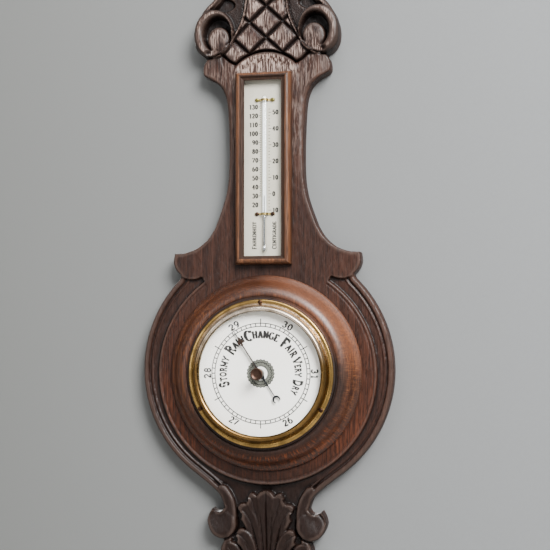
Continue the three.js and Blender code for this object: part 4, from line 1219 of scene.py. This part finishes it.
DIAL_INK_D = DIAL_FRONT + 0.02
TRACK = (57.25, 61.15)            # the two circles of the inch scale
WORD_R = 43.5
WORDS = (                         # where each weather word stands, its size and its pen
    ("STORMY", 272, 7.0, 2.6), ("RAIN", 317.5, 7.6, 2.8), ("CHANGE", 1.5, 8.0, 2.9), ("FAIR", 49, 7.6, 2.8),
    ("VERY DRY", 94, 6.4, 2.5),
)


def dial_printing():
    inner, outer = TRACK
    solids = [ribbon(circle(r), 1.05, DIAL_INK_D) for r in TRACK]
    for k in range(60):
        reach = outer + (5.4 if k % 10 == 0 else 0.0)
        solids.append(ribbon([polar(inner, 6 * k), polar(reach, 6 * k)], 1.15, DIAL_INK_D + 0.005))
    front = DIAL_INK_D + 0.01
    for inches in range(26, 32):
        upright_here = inches > 27
        place = on_circle(63.2 if upright_here else 70.4, 60 * (inches - 28) - 90, upright_here)
        solids += printed(str(inches), place, 7.2, front, (2.2, 1.25), 0.14, wide=1.25)
    for text, degrees, size, pen in WORDS:
        place = on_circle(WORD_R, degrees)
        solids += printed(text, place, size, front, (pen, 0.5 * pen), 0.14, initial=1.5, wide=0.86)
    new_piece("dial_printing", merged(solids), DIAL_INK, angle=30)


def rosette():
    """Fine lobed rings and rays round the dial's centre, over a grey tint."""
    tint_thick = 0.06
    front = DIAL_INK_D + 0.08
    solids = [ribbon(circle(r, 24, 1.5, 360), 0.9, front) for r in (15.6, 12.6)]
    for k in range(48):
        ray = [polar(9.2, 7.5 * k), polar(12.6, 7.5 * k + 9), polar(16.0, 7.5 * k)]
        solids.append(ribbon(ray, 0.5, front + 0.005))
    solids.append(ribbon(circle(8.9), 0.6, front))
    new_piece("rosette_lines", merged(solids), DIAL_INK, angle=30)
    outline = circle(15.6, 24, 1.5, 288)[:-1]
    hole = circle(8.8, steps=72)[:-1]
    tint = prism(outline, DIAL_INK_D, DIAL_INK_D + tint_thick, hole)
    new_piece("rosette_tint", tint, GREY_INK, angle=30)


dial_printing()
rosette()

# ---------------------------------------------------------------- hands and set knob

HAND_DEGREES = 33.0               # anticlockwise of the top
SET_HAND_DEGREES = 32.2


def flat_hand(node, half, hole_r, degrees, material, body):
    """A flat hand, turned anticlockwise from the left half of its outline as it points up."""
    front, back = depths_of(node)
    half = [tuple(p) for p in half]
    whole = half + [(-x, z) for x, z in half[::-1] if abs(x) > 1e-6]
    sin, cos = math.sin(math.radians(degrees)), math.cos(math.radians(degrees))
    outline = [(x * cos - z * sin, x * sin + z * cos) for x, z in whole]
    solid = prism(outline, back, front, circle(hole_r, steps=32)[:-1])
    soften(new_piece(f"{node}_blade", solid, material, [node], body, 30), 0.12)


def indicating_hand():
    """A long pointer with a round hub and a crescent at its tail."""
    tip, tail, crescent = 60.4, 37.0, 4.9
    half = [
        (0, tip), (-0.6, tip - 2), (-0.75, 30), (-0.9, 12), (-1.5, 7.0), (-4.3, 3.2),
        *arc(0, 0, 5.0, 5.0, 146, 232), (-0.8, -10), (-0.55, -tail + crescent - 0.6),
        *arc(0, -tail, crescent, crescent, 99, 226),
        *arc(0, -tail - 0.9, crescent - 1.7, crescent - 1.7, 216, 90),
    ]
    flat_hand("indicating_hand", half, 1.8, HAND_DEGREES, BLUED_STEEL, "hand")


def set_hand():
    """A thin pointer with a spade at its end."""
    tip = 51.8
    spade = through([(0, tip), (-1.0, tip - 3), (-3.9, tip - 7.2), (-3.3, tip - 9.4), (-1.4, tip - 8.6)], 6)
    half = [
        *spade, (-0.6, tip - 9.8), (-1.9, tip - 11), (-0.4, tip - 12), (-0.42, 12), (-1.0, 6.4), (-3.6, 3.8),
        *arc(0, 0, 5.2, 5.2, 134, 270),
    ]
    flat_hand("set_hand", half, 2.6, SET_HAND_DEGREES, COPPERY, "set_pointer")


def set_knob():
    """The knob with a dished face and a waist, and its stem through the glass."""
    front, back = depths_of("set_knob")
    skirt = front - 11.9
    dish = front - 1.3
    face = smooth([(7.5, front - 1.9), (7.45, front - 0.7), (6.9, front - 0.1), (6.2, front),
                   (5.2, front - 0.5), (3.6, front - 1.1), (0.02, dish)])
    neck = smooth([(4.5, skirt + 0.2), (4.7, skirt + 1.4), (3.8, skirt + 3.4), (4.3, skirt + 5.4),
                   (6.2, skirt + 7.2), (7.2, skirt + 8.4), (7.5, skirt + 9.2)])
    profile = [(0, back), (2.2, back), (2.2, skirt), (4.3, skirt), *neck, *face, (0, dish)]
    new_piece("set_knob_turned", lathe(profile, 96), COPPERY, ["set_knob"],
              "set_pointer", 35)


def set_bush():
    """The bush in the glass, with a flange in front."""
    front = GLASS_FRONT + FIT
    r = half_width("set_bush")
    top = smooth([(r, front), (r - 0.1, front + 0.7), (r - 0.6, front + 1.3), (4.2, front + 1.35)], 4)
    profile = [(2.6, GLASS_BACK), (4.4, GLASS_BACK), (4.4, front), *top, (2.6, front + 1.3)]
    new_piece("set_bush_ring", lathe(profile, 64), NICKEL, ["set_bush"], angle=35)


indicating_hand()
set_hand()
set_knob()
set_bush()

# ---------------------------------------------------------------- thermometer

RAILS = {side: box_mm(f"thermometer_rail_{side}") for side in ("left", "right", "top", "bottom")}
FRAME_X0 = RAILS["left"][0][0]
FRAME_X1 = RAILS["right"][1][0]
FRAME_Z0 = RAILS["left"][0][2]
FRAME_Z1 = RAILS["left"][1][2]
SIDE_W = RAILS["left"][1][0] - FRAME_X0
CROSS_W = FRAME_Z1 - RAILS["top"][0][2]
FRAME_FRONT = -RAILS["left"][0][1]
REBATE_D = 32.2
REBATE = 2.6
TUBE_LOW, TUBE_HIGH = box_mm("thermometer_tube")
TUBE_X = (TUBE_LOW[0] + TUBE_HIGH[0]) / 2
TUBE_D = -(TUBE_LOW[1] + TUBE_HIGH[1]) / 2
SCALE_FRONT = depths_of("thermometer_scale")[0]
STEM_TOP_Z = 198.0                # where the broad tube narrows to the stem of the bulb
# Where painted shade starts on a rail's inner bevel, as a share of its width: it is widest at the left and
# the top.
SHADE_START = {"left": 0.47, "top": 0.3, "right": 0.58, "bottom": 0.58}


def rail_section():
    """(share of the width, depth) round a rail, from its outer back corner."""
    front = FRAME_FRONT
    back = FIELD_D + FIT
    crown = smooth([(0.0, front - 7.6), (0.05, front - 4.2), (0.16, front - 1.7), (0.34, front - 0.35),
                    (0.47, front), (0.56, front - 0.2)], 4)
    bevel = smooth([(0.60, front - 0.7), (0.7, front - 1.9), (0.86, front - 2.5), (0.97, front - 2.7)], 4)
    lip = 1 - REBATE / SIDE_W
    return [(0.0, back), *crown, *bevel, (1.0, front - 3.1), (1.0, REBATE_D), (lip, REBATE_D), (lip, back)]


def thermometer_rail(side):
    """One mitred length of the frame's moulding, with painted shade on its inner bevel and on its outside
    towards the board.
    """
    section = rail_section()
    ends = []
    for end in (0, 1):
        corners = []
        for across, d in section:
            x0, x1 = FRAME_X0 + across * SIDE_W, FRAME_X1 - across * SIDE_W
            z0, z1 = FRAME_Z0 + across * CROSS_W, FRAME_Z1 - across * CROSS_W
            x, z = {
                "left": (x0, (z0, z1)[end]), "right": (x1, (z1, z0)[end]),
                "top": ((x0, x1)[end], z1), "bottom": ((x1, x0)[end], z0),
            }[side]
            corners.append((x, -d, z))
        ends.append(np.array(corners))
    rows = 25
    vertices = np.vstack([ends[0] + (ends[1] - ends[0]) * t for t in np.linspace(0, 1, rows)])
    solid = (vertices, tube_faces(rows, len(section)))
    nodes = [f"thermometer_rail_{side}"]
    rail = new_piece(f"frame_rail_{side}", solid, FRAME_WOOD, nodes, angle=34)
    start = SHADE_START[side]
    painted_shade = rail.data.attributes.new("shade", "FLOAT", "POINT")
    for k, place in enumerate(painted_shade.data):
        across, d = section[k % len(section)]
        # Painted shade: from the start share across the inner bevel, and on the outside towards the board.
        outside = 0.6 * rise(FRAME_FRONT - 5, FRAME_FRONT - 9, d)
        place.value = float(max(rise(start, start + 0.1, across), outside))


def thermometer_tube():
    """Flattened glass tube with a white back, narrowing to the stem and bulb."""
    top = TUBE_HIGH[2]
    foot_z = TUBE_LOW[2]
    bulb = foot_z + 5
    r = 2.1
    bulb_and_stem = smooth([
        (0.6, foot_z), (1.9, bulb - 3.2), (2.6, bulb - 0.6), (2.5, bulb + 2.6), (1.9, bulb + 5.6),
        (1.7, bulb + 8), (1.65, STEM_TOP_Z - 7), (1.8, STEM_TOP_Z - 3), (r, STEM_TOP_Z),
    ])
    end = [(r, top - 2.6), (r * 0.85, top - 1.2), (r * 0.45, top - 0.3), (0, top)]
    glass = upright([(0, foot_z), *bulb_and_stem, *end], TUBE_X, TUBE_D, widen=1.42)
    new_piece("tube_glass", glass, TUBE_GLASS, ["thermometer_tube"])
    left = [(-2.35, STEM_TOP_Z + 1), (-2.35, top - 3), (-1.4, top - 1.6)]
    back = [(TUBE_X + u, z) for u, z in [*left, *((-u, z) for u, z in left[::-1])]]
    new_piece("tube_enamel_back", prism(back, TUBE_D - 1.0, TUBE_D - 0.7), ENAMEL)


def mercury():
    """The thread in the tube and the bulb's filling."""
    low, high = (corner[2] for corner in box_mm("mercury_thread"))
    thread = [(0.5 + 0.6 * rise(STEM_TOP_Z, STEM_TOP_Z - 6, z), z) for z in np.linspace(low, high, 40)]
    solid = upright([(0, low), *thread, (0, high)], TUBE_X, TUBE_D, 16)
    obj = new_piece("mercury_column", solid, MERCURY, ["mercury_thread"], None, 50)
    start, end = ((TUBE_X * MM, -TUBE_D * MM, z * MM) for z in (low, high))
    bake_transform(obj)
    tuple(start)
    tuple(end)
    low, high = (corner[2] for corner in box_mm("mercury_bulb"))
    shape = smooth([(0.3, low), (1.3, low + 1.2), (1.7, low + 3.2), (1.4, low + 5.2), (0.5, high - 0.4)])
    solid = upright([(0, low), *shape, (0.5, high), (0, high)], TUBE_X, TUBE_D, 24)
    new_piece("mercury_in_bulb", solid, MERCURY, ["mercury_bulb"], angle=50)


def tube_clip(which, screw_material):
    """A thin brass strap bent over the tube, with a rounded ear and a screw on each side."""
    node = f"tube_clip_{which}"
    z = middle_of(node)[1]
    half = half_width(node)
    seat = SCALE_FRONT + FIT
    thick = 0.6
    ear_from = 6.2               # the strap widens to its ears beyond this
    turns = np.radians(np.linspace(-80, 80, 17))
    over = [(3.9 * math.sin(a), TUBE_D - 0.6 + 3.5 * math.cos(a)) for a in turns]
    rest = [(half, seat + thick / 2), (5.2, seat + thick / 2), (4.4, seat + 0.7)]
    path = np.array([*((-u, d) for u, d in rest), *over, *rest[::-1]])
    step = np.gradient(path, axis=0)
    step /= np.hypot(*step.T)[:, None]
    side = np.column_stack([-step[:, 1], step[:, 0]]) * thick / 2
    vertices = []
    for (u, d), (su, sd) in zip(path, side):
        reach = 1.4
        if abs(u) > ear_from:
            reach += 1.8 * math.sqrt(max(0.0, 1 - (1 - min(1.0, (half - abs(u)) / 2.2)) ** 2))
        for s, w in ((1, -1), (1, 1), (-1, 1), (-1, -1)):
            vertices.append((TUBE_X + u + s * su, -(d + s * sd), z + w * reach))
    solid = (vertices, tube_faces(len(path), 4))
    new_piece(f"clip_strap_{which}", solid, PLAIN_BRASS, [node])
    for number, slot_degrees in ((1, 80), (2, 210)):
        screw = f"{node}_screw_{number}"
        screw_head(screw, (middle_of(screw)[0], z), seat + thick + 1.5, 2.5, 1.3, slot_degrees,
                   screw_material)


# Each scale: its side of the tube, the height of 0 degrees and the length of 10, its lines (two degrees
# apart), its numbers, the length of its long lines, and the gap between it and its numbers.
SCALES = (
    (-1, 186.3, 11.18, range(15, 68), range(20, 131, 10), 3.4, 3.6),
    (1, 222.2, 20.45, range(-5, 27), range(-10, 51, 10), 3.6, 4.6),
)


def scale_printing():
    front = SCALE_FRONT + 0.02
    size = 5.2
    solids = []
    for side, zero, ten, line_numbers, numbers, long_line, gap in SCALES:
        start = TUBE_X + side * 4.6
        for k in line_numbers:
            z = zero + ten * k / 5
            reach = long_line if k % 5 == 0 else 1.8
            solids.append(ribbon([(start, z), (start + side * reach, z)], 0.65, front))
        for degrees in numbers:
            text = str(abs(degrees))
            x = start + side * (gap + 0.4 * size * len(text))
            place = on_line(x, zero + ten * degrees / 10 - size / 2)
            solids += printed(text, place, size, front + 0.01, (1.65, 1.1), 0.16)
    for text, x in (("FAHRENHEIT", TUBE_X - 11.2), ("CENTIGRADE", TUBE_X + 14.2)):
        solids += printed(text, on_line(x, 170.3, True), 4.2, front + 0.01, (0.8, 1.2), 0.1, initial=1.2)
    new_piece("scale_printing", merged(solids), SCALE_INK, angle=30)


for rail in RAILS:
    thermometer_rail(rail)
thermometer_tube()
mercury()
tube_clip("upper", OLD_BRASS)
tube_clip("lower", DARK_SCREW)
scale_printing()

# ---------------------------------------------------------------- fixings on the back

for number in (1, 2, 3):
    screw = f"rear_cover_screw_{number}"
    screw_head(screw, middle_of(screw), -0.2, 2.2, 0.9, 25 * number + 10, STEEL, facing=-1)
for number in (1, 2):
    screw = f"hanger_screw_{number}"
    screw_head(screw, middle_of(screw), 0.2, 2.9, 0.8, 70 * number, STEEL, facing=-1)

# ---------------------------------------------------------------- finishes of the pieces kept as packed

KEPT_FINISHES = {
    "dial_white": DIAL_WHITE, "scale_white": SCALE_WHITE, "clear_glass": CLEAR_GLASS,
    "plain_brass": PLAIN_BRASS, "steel": STEEL, "blued_steel": BLUED_STEEL, "nickel": NICKEL,
    "tinplate": TINPLATE, "mercury": MERCURY, "coppery_knob": COPPERY, "bezel_brass": BEZEL_BRASS,
    "carved_oak": CARVED_OAK, "turned_oak": TURNED_OAK, "frame_wood": FRAME_WOOD,
}
for part in frame["record"]["subparts"]:
    node = frame["nodes"][part["node"]]
    node.data.materials.clear()
    node.data.materials.append(KEPT_FINISHES[part["material_slot"]])
    if part["node"] in ("rear_cover", "hanger_plate", "dial_plate"):
        soften(node, 0.15)

# ---------------------------------------------------------------- stage, light and camera


def stage_plane(name, corners, left, right, roughness, grain):
    """A plain faintly speckled plane that pales from one colour at the left to another at the right; the
    paling is a painted fall of light.
    """
    obj = new_object(name, corners, [[0, 1, 2, 3]])
    material, tree = new_material(name)
    colour = painted(left, span(about_dial(tree)[0], -0.4, 0.4), right)
    colour = painted(colour, 0.3 * noise(tree, grain), rgb(96, 96, 95))
    surface(tree, Base_Color=colour, Roughness=roughness)
    obj.data.materials.append(material)
    return obj, tree


FLOOR_Z = -620
FLOOR_REACH = 6000
WALL_Y = 3.5
WALL_REACH = 4000
FLOOR_COLOUR = rgb(150, 149, 146)
SQUARE = ((-1, -1), (1, -1), (1, 1), (-1, 1))
floor_corners = [(s * FLOOR_REACH, t * FLOOR_REACH, FLOOR_Z) for s, t in SQUARE]
wall_corners = [(s * WALL_REACH, WALL_Y, WALL_REACH if t > 0 else FLOOR_Z) for s, t in SQUARE]
stage_plane("floor", floor_corners, FLOOR_COLOUR, FLOOR_COLOUR, 0.8, 30)
# The wall pales towards the right: painted light, as if from the key lamp's side.
wall, tree = stage_plane("wall", wall_corners, rgb(92, 93, 91), rgb(112, 114, 115), 0.9, 220)
# Seen from behind, the wall vanishes so that the back of the case shows.
solid_wall = Wire(tree.nodes["Principled BSDF"].outputs[0])
behind = add(tree, "NewGeometry", output="Backfacing")
shown(tree, add(tree, "MixShader", {0: behind, 1: solid_wall, 2: add(tree, "BsdfTransparent")}))
wall.visible_shadow = False
wall.visible_diffuse = False


def soft_light(name, place, size, watts):
    """A disc lamp that faces the middle of the case."""
    data = bpy.data.lights.new(name, "AREA")
    data.shape = "DISK"
    data.size = size
    data.energy = watts
    lamp = bpy.data.objects.new(name, data)
    scene.collection.objects.link(lamp)
    x, y, z = np.array((0, 0, 0.1)) - place
    lamp.location = place
    lamp.rotation_euler = (math.pi / 2 + math.atan2(z, math.hypot(x, y)), 0, math.atan2(x, -y) + math.pi)


soft_light("key", (1.5, -2.2, 1.7), 1.6, 330)
soft_light("ceiling", (0.3, -1.6, 2.4), 2.2, 70)
soft_light("fill", (-1.6, -2.4, 0.5), 1.8, 20)
soft_light("back_fill", (-0.8, 2.0, 1.2), 1.4, 130)
world = bpy.data.worlds.new("studio")
scene.world = world
world.use_nodes = True
world.node_tree.nodes["Background"].inputs["Color"].default_value = (0.86, 0.88, 0.9, 1)
world.node_tree.nodes["Background"].inputs["Strength"].default_value = 0.28

CAMERA_PLACE = (0.314347, -1.464479, 0.054176)
CAMERA_PAN = 0.206619             # to the left of square on to the wall, in radians
CAMERA_TILT = 0.045318            # upwards
camera_data = bpy.data.cameras.new("camera")
camera_data.sensor_width = 36.0
camera_data.lens = 77.79
camera = bpy.data.objects.new("camera", camera_data)
scene.collection.objects.link(camera)
camera.location = CAMERA_PLACE
camera.rotation_euler = (math.pi / 2 + CAMERA_TILT, 0, CAMERA_PAN)
scene.camera = camera
